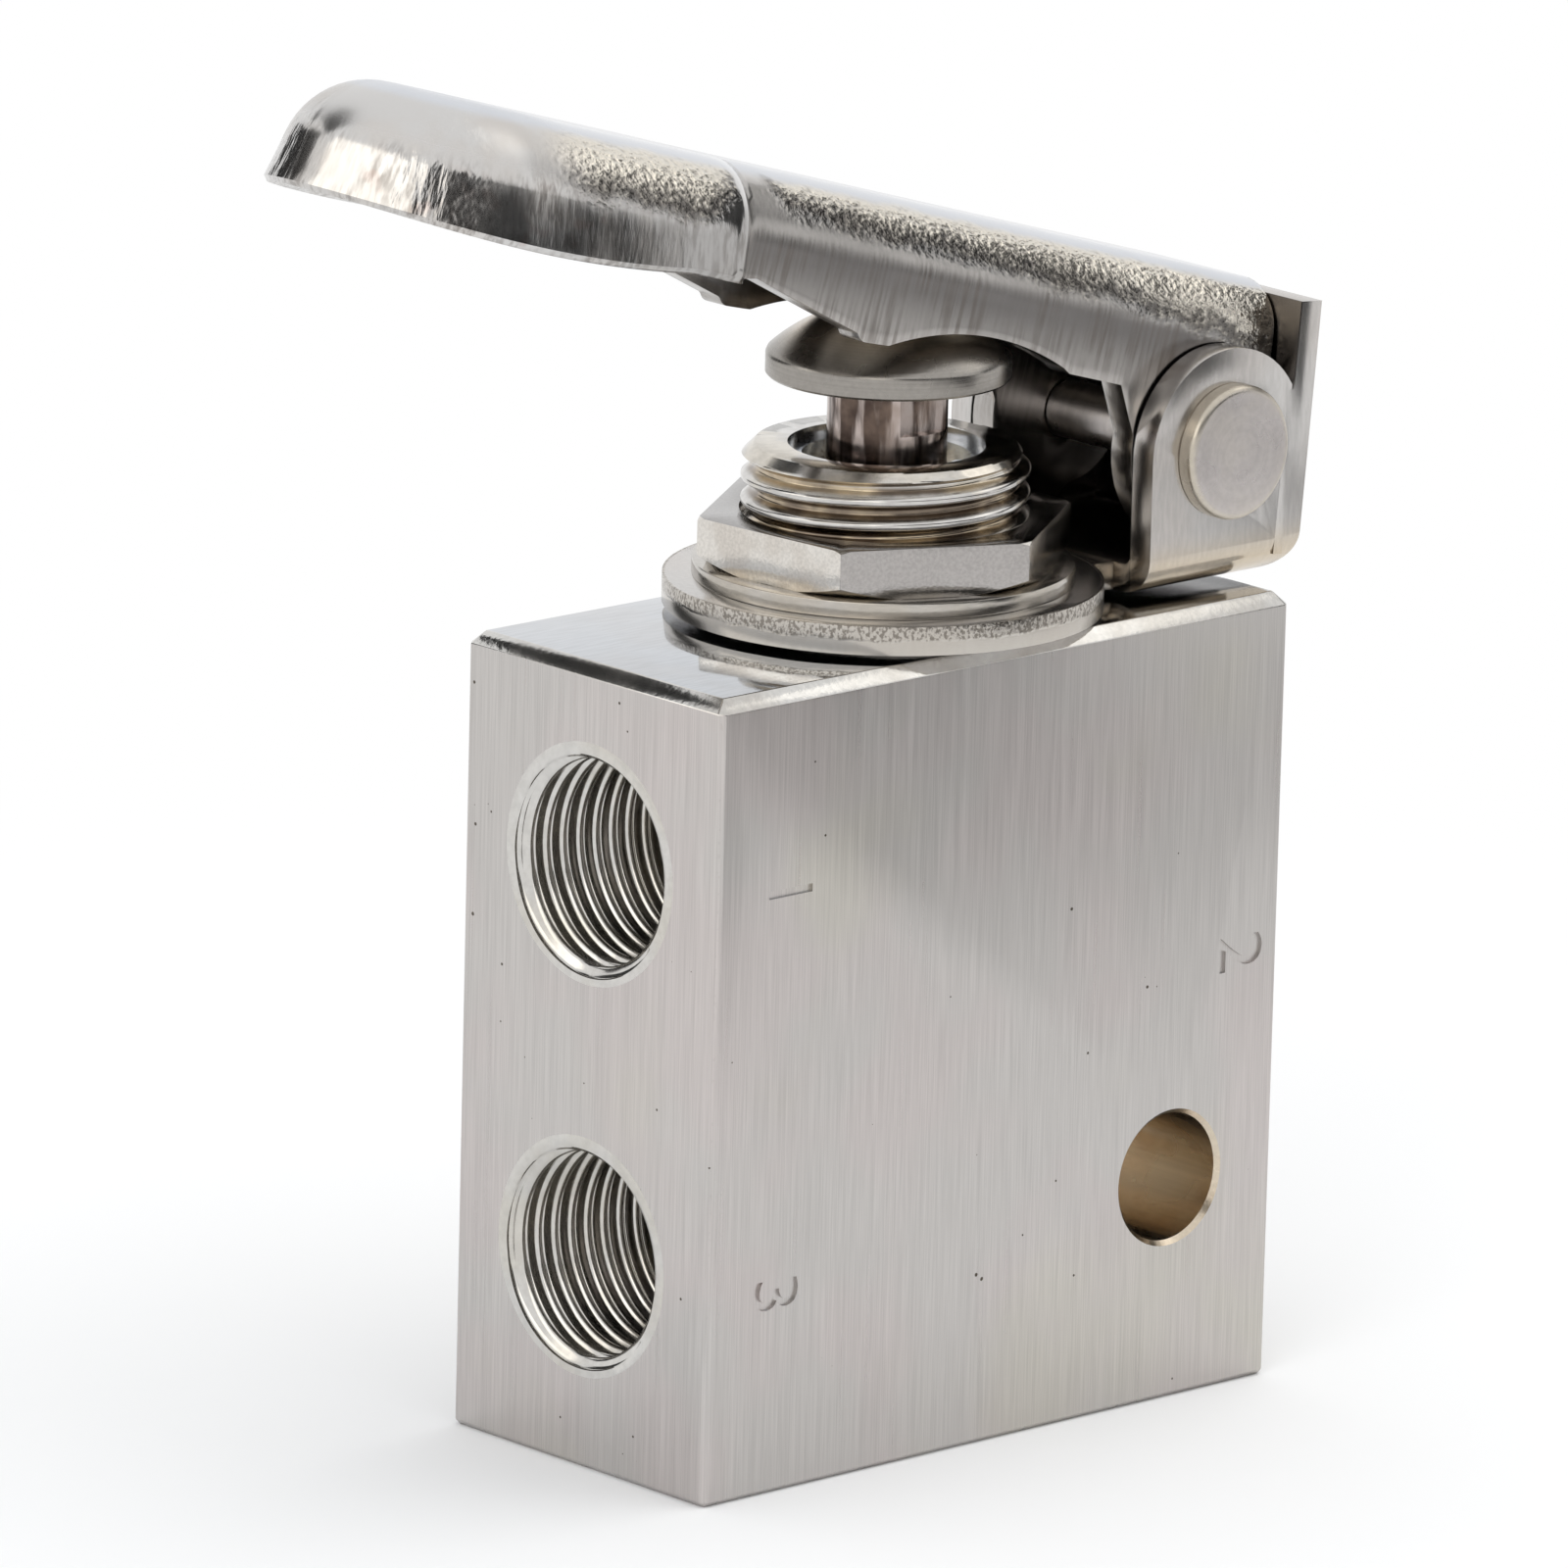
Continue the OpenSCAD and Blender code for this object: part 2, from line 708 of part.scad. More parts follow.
// Side view of the narrow part: nose, arch over the button, and pivot lobe
module lever_side() {
    difference() {
        union() {
            difference() {
                polygon([[-neck_reach - 1, lever_rise + 1], [-neck_reach - 1, wall_low],
                         [-neck_reach + 1, wall_low + wall_rise],
                         [nose_x - nose_r, nose_low + wall_rise],
                         [nose_x, nose_low], [arch_end_x, arch_end_z], [shoulder_x, arch_end_z],
                         [-lobe_r, -wall_rise], [lobe_r, -wall_rise],
                         [2 * lobe_r, lever_rise + 1]]);
                intersection() {
                    translate([arch_x, arch_top - arch_r]) circle(r = arch_r, $fn = 360);
                    translate([nose_x, nose_low - 1]) square([arch_end_x - nose_x, 3]);
                }
            }
            translate([nose_x, nose_low + nose_r]) circle(r = nose_r);
            intersection() {
                circle(r = lobe_r);
                translate([-2 * lobe_r, -2 * lobe_r]) square([2 * lobe_r, 4 * lobe_r]);
            }
            circle(r = rear_r);
        }
        rotate(lever_tilt - back_lean)
            translate([rear_r, -pad_reach]) square([pad_reach, 2 * pad_reach]);
    }
}

// Section of the finger pad: round shoulders over walls that lean in towards the back
module pad_section(inset) {
    top = lever_rise - inset;
    bend_r = pad_bend_r - inset;
    wide = pad_r - inset / cos(pad_lean);
    wall_h = lever_rise - pad_bend_r - pad_widest;
    bend_x = wide - wall_h * tan(pad_lean) - bend_r / cos(pad_lean);
    low = wall_low - 1;
    rim_x = wide - (pad_widest - low) * tan(pad_tuck);
    for (side = [-1, 1])
        scale([side, 1])
            union() {
                polygon([[-eps, low], [rim_x, low], [wide, pad_widest],
                         [bend_x + bend_r * cos(pad_lean), top - bend_r + bend_r * sin(pad_lean)],
                         [bend_x, top - bend_r], [bend_x, top], [-eps, top]]);
                translate([bend_x, top - bend_r]) circle(r = bend_r);
            }
}

// Everything above the pad's rim, which sags between its round end and the narrow part
module above_rim() {
    far = pad_reach + pad_w;
    intersection() {
        union() {
            translate([pad_rim_x, wall_low - pad_sag + pad_rim_r]) circle(r = pad_rim_r, $fn = 720);
            translate([pad_rim_start, wall_low]) square([-neck_reach - pad_rim_start, lever_rise]);
        }
        translate([-far, 0]) square([far - neck_reach, lever_rise + 1]);
    }
}

// Plan of the finger pad, drawn in from its outer edge by a wall thickness
module pad_plan(inset) {
    slip = inset * tan(22.5);
    narrow = lever_half - inset;
    wide = pad_r - inset;
    start = -neck_reach - slip;
    corner = start - pad_shoulder;
    end = 1 - neck_reach;
    polygon([[end, narrow], [start, narrow], [corner, wide], [-pad_reach, wide],
             [-pad_reach, -wide], [corner, -wide], [start, -narrow], [end, -narrow]]);
}

module pad_straight(inset) {
    intersection() {
        along(-pad_reach, -neck_reach + 2) pad_section(inset);
        translate([0, 0, wall_low - 1]) linear_extrude(height = 10) pad_plan(inset);
    }
}

module pad_round(inset) {
    translate([-pad_reach, 0, 0]) rotate_extrude()
        intersection() {
            pad_section(inset);
            translate([0, -pad_w]) square([pad_w, 2 * pad_w]);
        }
}

// The lever in its own frame: narrow part and finger pad, hollow below
module lever_form() {
    difference() {
        union() {
            intersection() {
                along(-neck_reach, lobe_r)
                    lever_section(lever_half, lever_rise, lever_bend_r);
                across(2 * lever_w) lever_side();
            }
            intersection() {
                union() {
                    pad_straight(0);
                    pad_round(0);
                }
                across(2 * pad_w) above_rim();
            }
        }
        along(-neck_reach - 1, lobe_r + 5)
            lever_section(lever_half - lever_t, lever_rise - lever_t, lever_bend_r - lever_t);
        pad_straight(lever_t);
        pad_round(lever_t);
        rotate([90, 0, 0]) cylinder(r = lobe_hole_r, h = 2 * lever_w, center = true);
    }
}

module hand_lever() {
    color("lightgray")
    difference() {
        translate([pivot_x, 0, pivot_z]) rotate([0, lever_tilt, 0]) lever_form();
        button_form(press_gap);
    }
}

// The button's outline, grown all round: a flat rim under a dome
module button_form(grow) {
    rotate_extrude()
        intersection() {
            translate([0, dome_centre_z]) circle(r = dome_r + grow);
            translate([0, button_bottom - grow]) square([button_r + grow, 2 * dome_r]);
        }
}

module push_button() {
    color("tan")
    difference() {
        button_form(0);
        disc(spigot_d / 2, button_bottom - 1, button_bottom + spigot_h + 0.2);
    }
}

module plunger_stem() {
    color("rosybrown")
    difference() {
        union() {
            bevelled_disc(collar_d / 2, spool_top, collar_top, 0.2);
            disc(stem_d / 2, spool_top + 0.5, button_bottom);
            disc(spigot_d / 2 - seat_gap, button_bottom - 1, button_bottom + spigot_h);
        }
        for (side = [-1, 1])
            translate([-stem_d, side * (stem_af / 2 + stem_d / 2) - stem_d / 2, flat_top - flat_h])
                cube([2 * stem_d, stem_d, flat_h]);
    }
}

module valve_spool() {
    color("gainsboro")
    rotate_extrude()
        polygon([[0, spool_bottom], [spool_nose_r, spool_bottom], [spool_nose_r, spring_top],
                 [spool_r, spring_top], [spool_r, outlet_waist_bottom],
                 [waist_r, outlet_waist_bottom + waist_flank],
                 [waist_r, outlet_waist_top - waist_flank],
                 [spool_r, outlet_waist_top], [spool_r, supply_waist_bottom],
                 [waist_r, supply_waist_bottom + waist_flank],
                 [waist_r, supply_waist_top - waist_flank],
                 [spool_r, supply_waist_top], [spool_r, spool_top - spool_bevel],
                 [spool_r - spool_bevel, spool_top], [0, spool_top]]);
}

body_block();
guide_bush();
guide_o_ring();
stem_o_ring();
neck_circlip();
seal_top();
supply_cage();
seal_supply();
outlet_cage();
seal_exhaust();
exhaust_cage();
return_spring();
bottom_plug();
plug_o_ring();
lever_bracket();
lock_washer();
panel_nut();
pivot_pin();
pin_e_ring();
hand_lever();
push_button();
plunger_stem();
valve_spool();
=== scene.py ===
import json
import math
import bmesh
import bpy
from mathutils import Matrix, Vector


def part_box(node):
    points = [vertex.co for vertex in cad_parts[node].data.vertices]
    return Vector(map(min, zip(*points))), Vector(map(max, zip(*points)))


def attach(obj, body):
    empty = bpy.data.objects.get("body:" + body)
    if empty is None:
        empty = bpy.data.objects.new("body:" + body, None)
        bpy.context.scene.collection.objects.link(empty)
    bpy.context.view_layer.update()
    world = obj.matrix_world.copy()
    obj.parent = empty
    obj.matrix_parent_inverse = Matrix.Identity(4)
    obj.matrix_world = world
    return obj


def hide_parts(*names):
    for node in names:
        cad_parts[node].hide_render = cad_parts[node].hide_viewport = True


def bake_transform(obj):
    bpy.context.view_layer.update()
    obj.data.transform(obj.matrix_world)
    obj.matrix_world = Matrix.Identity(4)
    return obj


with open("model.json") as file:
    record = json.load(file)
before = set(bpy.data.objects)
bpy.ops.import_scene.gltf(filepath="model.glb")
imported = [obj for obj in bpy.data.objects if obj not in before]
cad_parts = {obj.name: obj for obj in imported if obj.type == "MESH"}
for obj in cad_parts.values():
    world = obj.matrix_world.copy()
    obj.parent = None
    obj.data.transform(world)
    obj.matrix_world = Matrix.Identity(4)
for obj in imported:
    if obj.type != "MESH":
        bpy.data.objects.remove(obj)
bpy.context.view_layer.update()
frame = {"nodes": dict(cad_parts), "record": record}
scene = bpy.context.scene


# The studio: a long lens looks down at the valve from the front left. It stands on a pale
# sheet that runs out to white, under large soft lamps. Bent cards round it, some dark and
# some bright, are what the plated faces mirror.
mm = 0.001
view_turn, view_drop, view_roll = (math.radians(angle) for angle in (42.761, 14.313, 1.438))
view_distance = 654.59 * mm
view_target = Vector((0, 0, 17 * mm))
view_shift_right = -3.649 * mm
view_shift_up = 9.272 * mm
focal_px = 16044.9
frame_px = 1600
sensor_mm = 36

look = Vector((math.sin(view_turn) * math.cos(view_drop),
               math.cos(view_turn) * math.cos(view_drop), -math.sin(view_drop)))
level_right = Vector((math.cos(view_turn), -math.sin(view_turn), 0))
level_up = level_right.cross(look)
view_right = math.cos(view_roll) * level_right + math.sin(view_roll) * level_up
view_up = math.cos(view_roll) * level_up - math.sin(view_roll) * level_right
camera = bpy.data.objects.new("camera", bpy.data.cameras.new("camera"))
camera.data.sensor_width = sensor_mm
camera.data.lens = sensor_mm * focal_px / frame_px
camera.data.clip_start = 0.05
camera.data.clip_end = 20
axes = Matrix((view_right, view_up, -look)).transposed()
camera.matrix_world = Matrix.Translation(
    view_target - look * view_distance + view_right * view_shift_right + view_up * view_shift_up
) @ axes.to_4x4()
scene.collection.objects.link(camera)
scene.camera = camera
scene.view_settings.view_transform = "Standard"


def node(tree, kind, inputs=None, **settings):
    """One node of a tree: settings are its own properties, inputs its sockets' values or links."""
    made = tree.nodes.new(kind)
    for name, value in settings.items():
        setattr(made, name, value)
    for socket, value in (inputs or {}).items():
        if isinstance(value, bpy.types.NodeSocket):
            tree.links.new(value, made.inputs[socket])
        else:
            made.inputs[socket].default_value = value
    return made


def new_material(name):
    material = bpy.data.materials.new(name)
    material.use_nodes = True
    material.node_tree.nodes.clear()
    return material, material.node_tree


def maths(tree, operation, a, b=0.0, c=0.0):
    return node(tree, "ShaderNodeMath", {0: a, 1: b, 2: c}, operation=operation).outputs[0]


def product(tree, first, *others):
    for other in others:
        first = maths(tree, "MULTIPLY", first, other)
    return first


def total(tree, first, *others):
    for other in others:
        first = maths(tree, "ADD", first, other)
    return first


def span(tree, value, low, high, first=0.0, last=1.0):
    """A soft step from first to last while the value goes from low to high."""
    return node(tree, "ShaderNodeMapRange", {0: value, 1: low, 2: high, 3: first, 4: last},
                interpolation_type="SMOOTHSTEP").outputs[0]


def object_place(tree):
    return node(tree, "ShaderNodeTexCoord").outputs["Object"]


def axes_of(tree, vector):
    return node(tree, "ShaderNodeSeparateXYZ", {0: vector}).outputs


def length_of(tree, vector):
    return node(tree, "ShaderNodeVectorMath", {0: vector}, operation="LENGTH").outputs["Value"]


def seen_directly(tree):
    """1 for the camera and for what mirrors and glass show, 0 for the light that falls on things."""
    rays = node(tree, "ShaderNodeLightPath").outputs
    either = maths(tree, "MAXIMUM", rays["Is Camera Ray"], rays["Is Glossy Ray"])
    return maths(tree, "MAXIMUM", either, rays["Is Transmission Ray"])


world = bpy.data.worlds.new("white_room")
scene.world = world
world.use_nodes = True
sky = world.node_tree
sky.nodes.clear()
room_light = node(sky, "ShaderNodeBackground", {"Color": (0.97, 0.985, 1, 1), "Strength": 0.9})
room_white = node(sky, "ShaderNodeBackground", {"Color": (1, 1, 1, 1), "Strength": 1})
room = node(sky, "ShaderNodeMixShader", {0: seen_directly(sky), 1: room_light.outputs[0],
                                         2: room_white.outputs[0]})
node(sky, "ShaderNodeOutputWorld", {"Surface": room.outputs[0]})

sheet_half = 3
shadow_inner, shadow_outer = 30 * mm, 110 * mm
floor_mesh = bpy.data.meshes.new("floor")
floor_mesh.from_pydata([(-sheet_half, -sheet_half, 0), (sheet_half, -sheet_half, 0),
                        (sheet_half, sheet_half, 0), (-sheet_half, sheet_half, 0)], [], [(0, 1, 2, 3)])
floor = bpy.data.objects.new("floor", floor_mesh)
scene.collection.objects.link(floor)
paper, tree = new_material("pale_paper")
far = span(tree, length_of(tree, object_place(tree)), shadow_inner, shadow_outer)
diffuse = node(tree, "ShaderNodeBsdfDiffuse", {"Color": (0.89, 0.89, 0.89, 1)})
white = node(tree, "ShaderNodeEmission", {"Color": (1, 1, 1, 1), "Strength": 1})
mixed = node(tree, "ShaderNodeMixShader", {0: product(tree, seen_directly(tree), far), 1: diffuse.outputs[0],
                                           2: white.outputs[0]})
node(tree, "ShaderNodeOutputMaterial", {"Surface": mixed.outputs[0]})
floor_mesh.materials.append(paper)


def soft_lamp(name, place, size, power, colour):
    lamp = bpy.data.lights.new(name, "AREA")
    lamp.shape = "DISK"
    lamp.size = size
    lamp.energy = power
    lamp.color = colour
    holder = bpy.data.objects.new(name, lamp)
    holder.location = place
    holder.rotation_euler = (view_target - Vector(place)).to_track_quat("-Z", "Y").to_euler()
    holder.visible_glossy = False
    scene.collection.objects.link(holder)


soft_lamp("lamp_above", (0.2, -0.12, 0.5), 0.6, 1.0, (1, 0.98, 0.95))
soft_lamp("lamp_left", (-0.45, -0.25, 0.3), 0.4, 0.72, (0.97, 0.98, 1))


def bent_card(name, spine, reach, low_glow, high_glow, distance=500 * mm, tint=(1, 1, 1)):
    """A card bent round the valve along (azimuth, elevation) points, which only mirrors show."""
    points = []
    for azimuth, elevation in spine:
        for side in (-reach, reach):
            turn, rise = math.radians(azimuth), math.radians(elevation + side)
            level = Vector((math.cos(turn), math.sin(turn), 0))
            points.append(view_target + distance * (level * math.cos(rise) + Vector((0, 0, math.sin(rise)))))
    mesh = bpy.data.meshes.new(name)
    mesh.from_pydata(points, [], [(2 * i, 2 * i + 2, 2 * i + 3, 2 * i + 1) for i in range(len(spine) - 1)])
    card = bpy.data.objects.new(name, mesh)
    for ray in ("camera", "shadow", "diffuse", "transmission"):
        setattr(card, f"visible_{ray}", False)
    scene.collection.objects.link(card)
    lit, tree = new_material(name)
    height = axes_of(tree, object_place(tree))[2]
    levels = [point.z for point in points]
    strength = node(tree, "ShaderNodeMapRange", {0: height, 1: min(levels), 2: max(levels), 3: low_glow,
                                                 4: high_glow}).outputs[0]
    glow = node(tree, "ShaderNodeEmission", {"Color": (*tint, 1), "Strength": strength})
    node(tree, "ShaderNodeOutputMaterial", {"Surface": glow.outputs[0]})
    mesh.materials.append(lit)


bent_card("card_front", [(-45.4, 1.8), (-58, 8), (-72, 14), (-86, 19), (-100, 24), (-112, 28), (-124, 31)],
          10, 0.03, 0.05)
bent_card("card_right", [(-35, 14), (-20, 22), (-5, 26), (8, 27)], 8, 0.05, 0.08)
bent_card("card_above_left", [(96, 42), (104, 43), (114, 43), (124, 42)], 9, 0.03, 0.03)
bent_card("card_behind", [(119, 23), (108, 18), (97, 11), (86, 5)], 9, 0.05, 0.05)
bent_card("glow_left", [(-136, 32), (-150, 35), (-170, 36), (-190, 35), (-210, 31), (-226, 27)], 11, 1.9, 1.9,
          tint=(1, 0.975, 0.925))
bent_card("glow_right", [(-36, 46), (-24, 47), (-12, 47), (0, 46)], 8, 1.6, 1.6, tint=(1, 0.985, 0.955))
bent_card("card_low", [(-85, -4), (-70, -4), (-55, -4), (-40, -4), (-25, -4), (-10, -4)], 2.4, 0.8, 0.16,
          distance=155 * mm)


# The body: a block sawn from drawn bar, drilled and tapped for three pipe ports, crossed by a
# plain screw hole and plated in satin nickel over its brush lines. The turned seat and
# the neck are one piece with it, and the port marks are struck into the wide face.
def mesh_object(name, mesh, material=None):
    made = bpy.data.objects.new(name, mesh)
    scene.collection.objects.link(made)
    if material:
        mesh.materials.append(material)
    return made


def smooth_by_angle(mesh, degrees=32):
    """Round stretches shade smooth, and edges sharper than the angle stay sharp."""
    work = bmesh.new()
    work.from_mesh(mesh)
    limit = math.radians(degrees)
    for edge in work.edges:
        edge.smooth = not (len(edge.link_faces) == 2 and edge.calc_face_angle(0) > limit)
    for face in work.faces:
        face.smooth = True
    work.to_mesh(mesh)
    work.free()


def stretched(tree, place, scale, turn=(0, 0, 0)):
    """A place scaled along its axes, where 0 drops an axis, and turned."""
    return node(tree, "ShaderNodeMapping", {"Vector": place, "Rotation": turn, "Scale": scale},
                vector_type="POINT").outputs[0]


def noise(tree, place, scale, detail=2, stretch=None):
    """Soft noise, drawn out along the axis where stretch is small."""
    if stretch:
        place = stretched(tree, place, stretch)
    return node(tree, "ShaderNodeTexNoise", {"Vector": place, "Scale": scale, "Detail": detail}).outputs[0]


def tinted(tree, share, first, second, how="MIX"):
    """The first colour, which gives way to the second by the share."""
    made = node(tree, "ShaderNodeMix", {0: share}, data_type="RGBA", blend_type=how)
    for socket, value in ((6, first), (7, second)):
        if isinstance(value, bpy.types.NodeSocket):
            tree.links.new(value, made.inputs[socket])
        else:
            made.inputs[socket].default_value = (*value, 1)
    return made.outputs[2]


def shaded(tree, shade, value, low, high, first, last):
    """A colour times a soft step from first to last while the value goes from low to high."""
    return tinted(tree, 1.0, shade, span(tree, value, low, high, first, last), "MULTIPLY")


def surface(tree, colour, roughness, height, depth, metallic=1.0):
    """The finish itself: colour and roughness with a bump of the depth in millimetres."""
    bump = node(tree, "ShaderNodeBump", {"Height": height, "Strength": 1, "Distance": depth * mm}).outputs[0]
    shader = node(tree, "ShaderNodeBsdfPrincipled", {"Base Color": colour, "Metallic": metallic,
                                                     "Roughness": roughness, "Normal": bump})
    node(tree, "ShaderNodeOutputMaterial", {"Surface": shader.outputs[0]})


def satin_plate(name, colour, pink, straw):
    """Nickel over a drawn bar: upright brush lines, clouds of faint tint, and dark pits."""
    material, tree = new_material(name)
    place = object_place(tree)
    fine = noise(tree, place, 15000, 3, stretch=(1, 1, 0.014))
    broad = noise(tree, place, 2300, 2, stretch=(1, 1, 0.03))
    warm = tinted(tree, span(tree, noise(tree, place, 120), 0.42, 0.62), colour, pink)
    warm = tinted(tree, span(tree, noise(tree, place, 75, 3), 0.5, 0.7), warm, straw)
    lines = shaded(tree, warm, fine, 0.3, 0.7, 0.9, 1.05)
    lines = shaded(tree, lines, broad, 0.3, 0.7, 0.95, 1.02)
    spots = node(tree, "ShaderNodeTexVoronoi", {"Vector": place, "Scale": 2100}, feature="F1").outputs[0]
    pit = maths(tree, "LESS_THAN", spots, span(tree, noise(tree, place, 520), 0.6, 0.74, 0.0, 0.2))
    from_edge = node(tree, "ShaderNodeVectorMath", {
        0: stretched(tree, place, (1, 1, 0)), 1: (-block_w / 2, -block_d / 2, 0)},
        operation="DISTANCE").outputs["Value"]
    nicks = product(tree, span(tree, noise(tree, place, 2600), 0.6, 0.64),
                    span(tree, from_edge, 0.08 * mm, 0.2 * mm, 0.8, 0.0))
    worn = tinted(tree, maths(tree, "MAXIMUM", pit, nicks), lines, (0.1, 0.085, 0.07))
    dull = span(tree, broad, 0.25, 0.75, 0.27, 0.36)
    surface(tree, worn, dull, maths(tree, "SUBTRACT", fine, pit), 0.0035)
    return material


def bright_metal(name, colour, tint, roughness=0.13, streak=(1, 1, 1), grain=2600, depth=0.0012):
    """Bright metal or plate: a cloudy tint over a fine grain that the streak draws out."""
    material, tree = new_material(name)
    place = object_place(tree)
    grained = noise(tree, place, grain, 3, stretch=streak)
    cloud = noise(tree, place, 260)
    shade = tinted(tree, span(tree, cloud, 0.4, 0.62), colour, tint)
    shade = shaded(tree, shade, grained, 0.28, 0.72, 0.93, 1.03)
    surface(tree, shade, span(tree, cloud, 0.3, 0.7, roughness * 0.7, roughness * 1.4), grained, depth)
    return material


block_low, block_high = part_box("body_block")
block_w = block_high.x - block_low.x
block_d = block_high.y - block_low.y
neck_top = block_high.z
block_h = 34 * mm
top_chamfer = 0.55 * mm
edge_break = 0.25 * mm
neck_r = 6 * mm
neck_bore_r = 4.1 * mm
boss_r = 7.2 * mm
boss_top = 34.3 * mm
satin_nickel = satin_plate("satin_nickel", (0.555, 0.533, 0.515), (0.57, 0.53, 0.515), (0.565, 0.54, 0.495))
bright_nickel = bright_metal("bright_nickel", (0.62, 0.605, 0.58), (0.6, 0.575, 0.53))
# The top face's plate: its bluish colour is a painted reflection.
polished_nickel_painted_reflection = bright_metal("polished_nickel_painted_reflection", (0.56, 0.58, 0.61), (0.55, 0.56, 0.58), 0.07,
                               streak=(0.15, 1, 1), grain=4000, depth=0.0005)
milled_edge = bright_metal("milled_edge", (0.64, 0.63, 0.61), (0.55, 0.53, 0.5), 0.12, grain=3400,
                           depth=0.006)
reamed_brass = bright_metal("reamed_brass", (0.62, 0.52, 0.4), (0.7, 0.62, 0.5), 0.24, streak=(1, 0.03, 1),
                            grain=5200, depth=0.006)


def chamfered_block():
    """The block as the hull of its chamfers' corners."""
    work = bmesh.new()
    for sx in (-1, 1):
        for sy in (-1, 1):
            for z, inset, flank in ((0, edge_break, edge_break), (block_h, -top_chamfer, top_chamfer)):
                x, y = sx * block_w / 2, sy * block_d / 2
                work.verts.new((x - sx * flank, y - sy * flank, z))
                work.verts.new((x, y - sy * edge_break, z + inset))
                work.verts.new((x - sx * edge_break, y, z + inset))
    bmesh.ops.convex_hull(work, input=work.verts)
    bmesh.ops.dissolve_limit(work, angle_limit=0.01, verts=work.verts, edges=work.edges)
    mesh = bpy.data.meshes.new("block")
    work.to_mesh(mesh)
    work.free()
    return mesh


def close_up(mesh):
    """Merges a made mesh's doubles, drops its slivers and turns its faces outwards."""
    work = bmesh.new()
    work.from_mesh(mesh)
    bmesh.ops.remove_doubles(work, verts=work.verts, dist=1e-7)
    bmesh.ops.dissolve_degenerate(work, edges=work.edges, dist=1e-7)
    bmesh.ops.recalc_face_normals(work, faces=work.faces)
    work.to_mesh(mesh)
    work.free()


def lathe(name, profile, steps=96, placed=Matrix.Identity(4)):
    """Turns a closed profile of (radius, height) points about its own axis."""
    mesh = bpy.data.meshes.new(name)
    turns = [2 * math.pi * i / steps for i in range(steps)]
    points = [Vector((r * math.cos(turn), r * math.sin(turn), z)) for turn in turns for r, z in profile]
    count = len(profile)
    faces = [(i * count + j, ((i + 1) % steps) * count + j, ((i + 1) % steps) * count + (j + 1) % count,
              i * count + (j + 1) % count) for i in range(steps) for j in range(count)]
    mesh.from_pydata([placed @ point for point in points], [], faces)
    close_up(mesh)
    return mesh


def port_place(side, height):
    """A port's frame: its own +Z runs from the block's side face into the metal."""
    return Matrix.Translation((side * block_w / 2, 0, height)) @ Matrix.Rotation(-side * math.pi / 2, 4, "Y")


def set_plain(piece):
    """Keeps what a piece's modifiers make of it as its plain mesh."""
    seen = bpy.context.evaluated_depsgraph_get()
    result = bpy.data.meshes.new_from_object(piece.evaluated_get(seen))
    piece.modifiers.clear()
    piece.data = result


def bench_cut(target, tools, operation="DIFFERENCE"):
    """Cuts the tools out of the target, or joins them to it, and keeps the plain result."""
    for tool in tools:
        cut = target.modifiers.new(tool.name, "BOOLEAN")
        cut.operation = operation
        cut.solver = "EXACT"
        cut.object = tool
    set_plain(target)
    for tool in tools:
        bpy.data.objects.remove(tool)


port_outer_r = 5.1 * mm
port_wall_r = 4.285 * mm
port_depth = 8 * mm
drill_r = 1.8 * mm
drill_point = (port_wall_r - drill_r) * math.tan(math.radians(31))
ports = {"supply": (-1, 25.65 * mm), "exhaust": (-1, 9 * mm), "outlet": (1, 18.7 * mm)}
bore_r = 5 * mm
bore_top = 31 * mm
plug_depth = 4.4 * mm
collar_bore_r = 3.4 * mm
side_hole_r = 2.75 * mm
side_hole_lead = 0.2 * mm
side_hole_x, side_hole_z = 10 * mm, 9.65 * mm
half_d = block_d / 2
overshoot = 2 * mm
mouth_r = side_hole_r + side_hole_lead + overshoot

tools = [mesh_object(f"drill_{port}", lathe(port, [
    (0, -overshoot), (port_outer_r, -overshoot), (port_outer_r, port_depth), (port_wall_r, port_depth),
    (drill_r, port_depth + drill_point), (drill_r, block_w / 2), (0, block_w / 2)],
    placed=port_place(side, height))) for port, (side, height) in ports.items()]
tools.append(mesh_object("bore_tool", lathe("bore", [
    (0, -overshoot), (neck_r, -overshoot), (neck_r, plug_depth), (bore_r, plug_depth), (bore_r, bore_top),
    (collar_bore_r, bore_top), (collar_bore_r, block_h + overshoot), (0, block_h + overshoot)])))
tools.append(mesh_object("hole_tool", lathe("hole", [
    (0, -half_d - overshoot), (mouth_r, -half_d - overshoot), (side_hole_r, -half_d + side_hole_lead),
    (side_hole_r, half_d - side_hole_lead), (mouth_r, half_d + overshoot), (0, half_d + overshoot)],
    placed=Matrix.Translation((side_hole_x, 0, side_hole_z)) @ Matrix.Rotation(math.pi / 2, 4, "X"))))

mark_size = 3.5 * mm
mark_depth = 0.13 * mm


def stamp(figure, across, up):
    """A figure's punch, lying on its side in the front face."""
    letter = bpy.data.curves.new(f"mark_{figure}", "FONT")
    letter.body = figure
    letter.size = mark_size
    letter.align_x = "CENTER"
    letter.align_y = "CENTER"
    letter.extrude = mark_depth
    letter.resolution_u = 4
    writing = bpy.data.objects.new(f"mark_{figure}", letter)
    scene.collection.objects.link(writing)
    seen = bpy.context.evaluated_depsgraph_get()
    punch = bpy.data.meshes.new_from_object(writing.evaluated_get(seen))
    bpy.data.objects.remove(writing)
    on_its_side = Matrix(((0, 1, 0), (0, 0, -1), (-1, 0, 0))).to_4x4()
    punch.transform(Matrix.Translation((across, -half_d, up)) @ on_its_side)
    close_up(punch)
    return mesh_object(f"stamp_{figure}", punch)


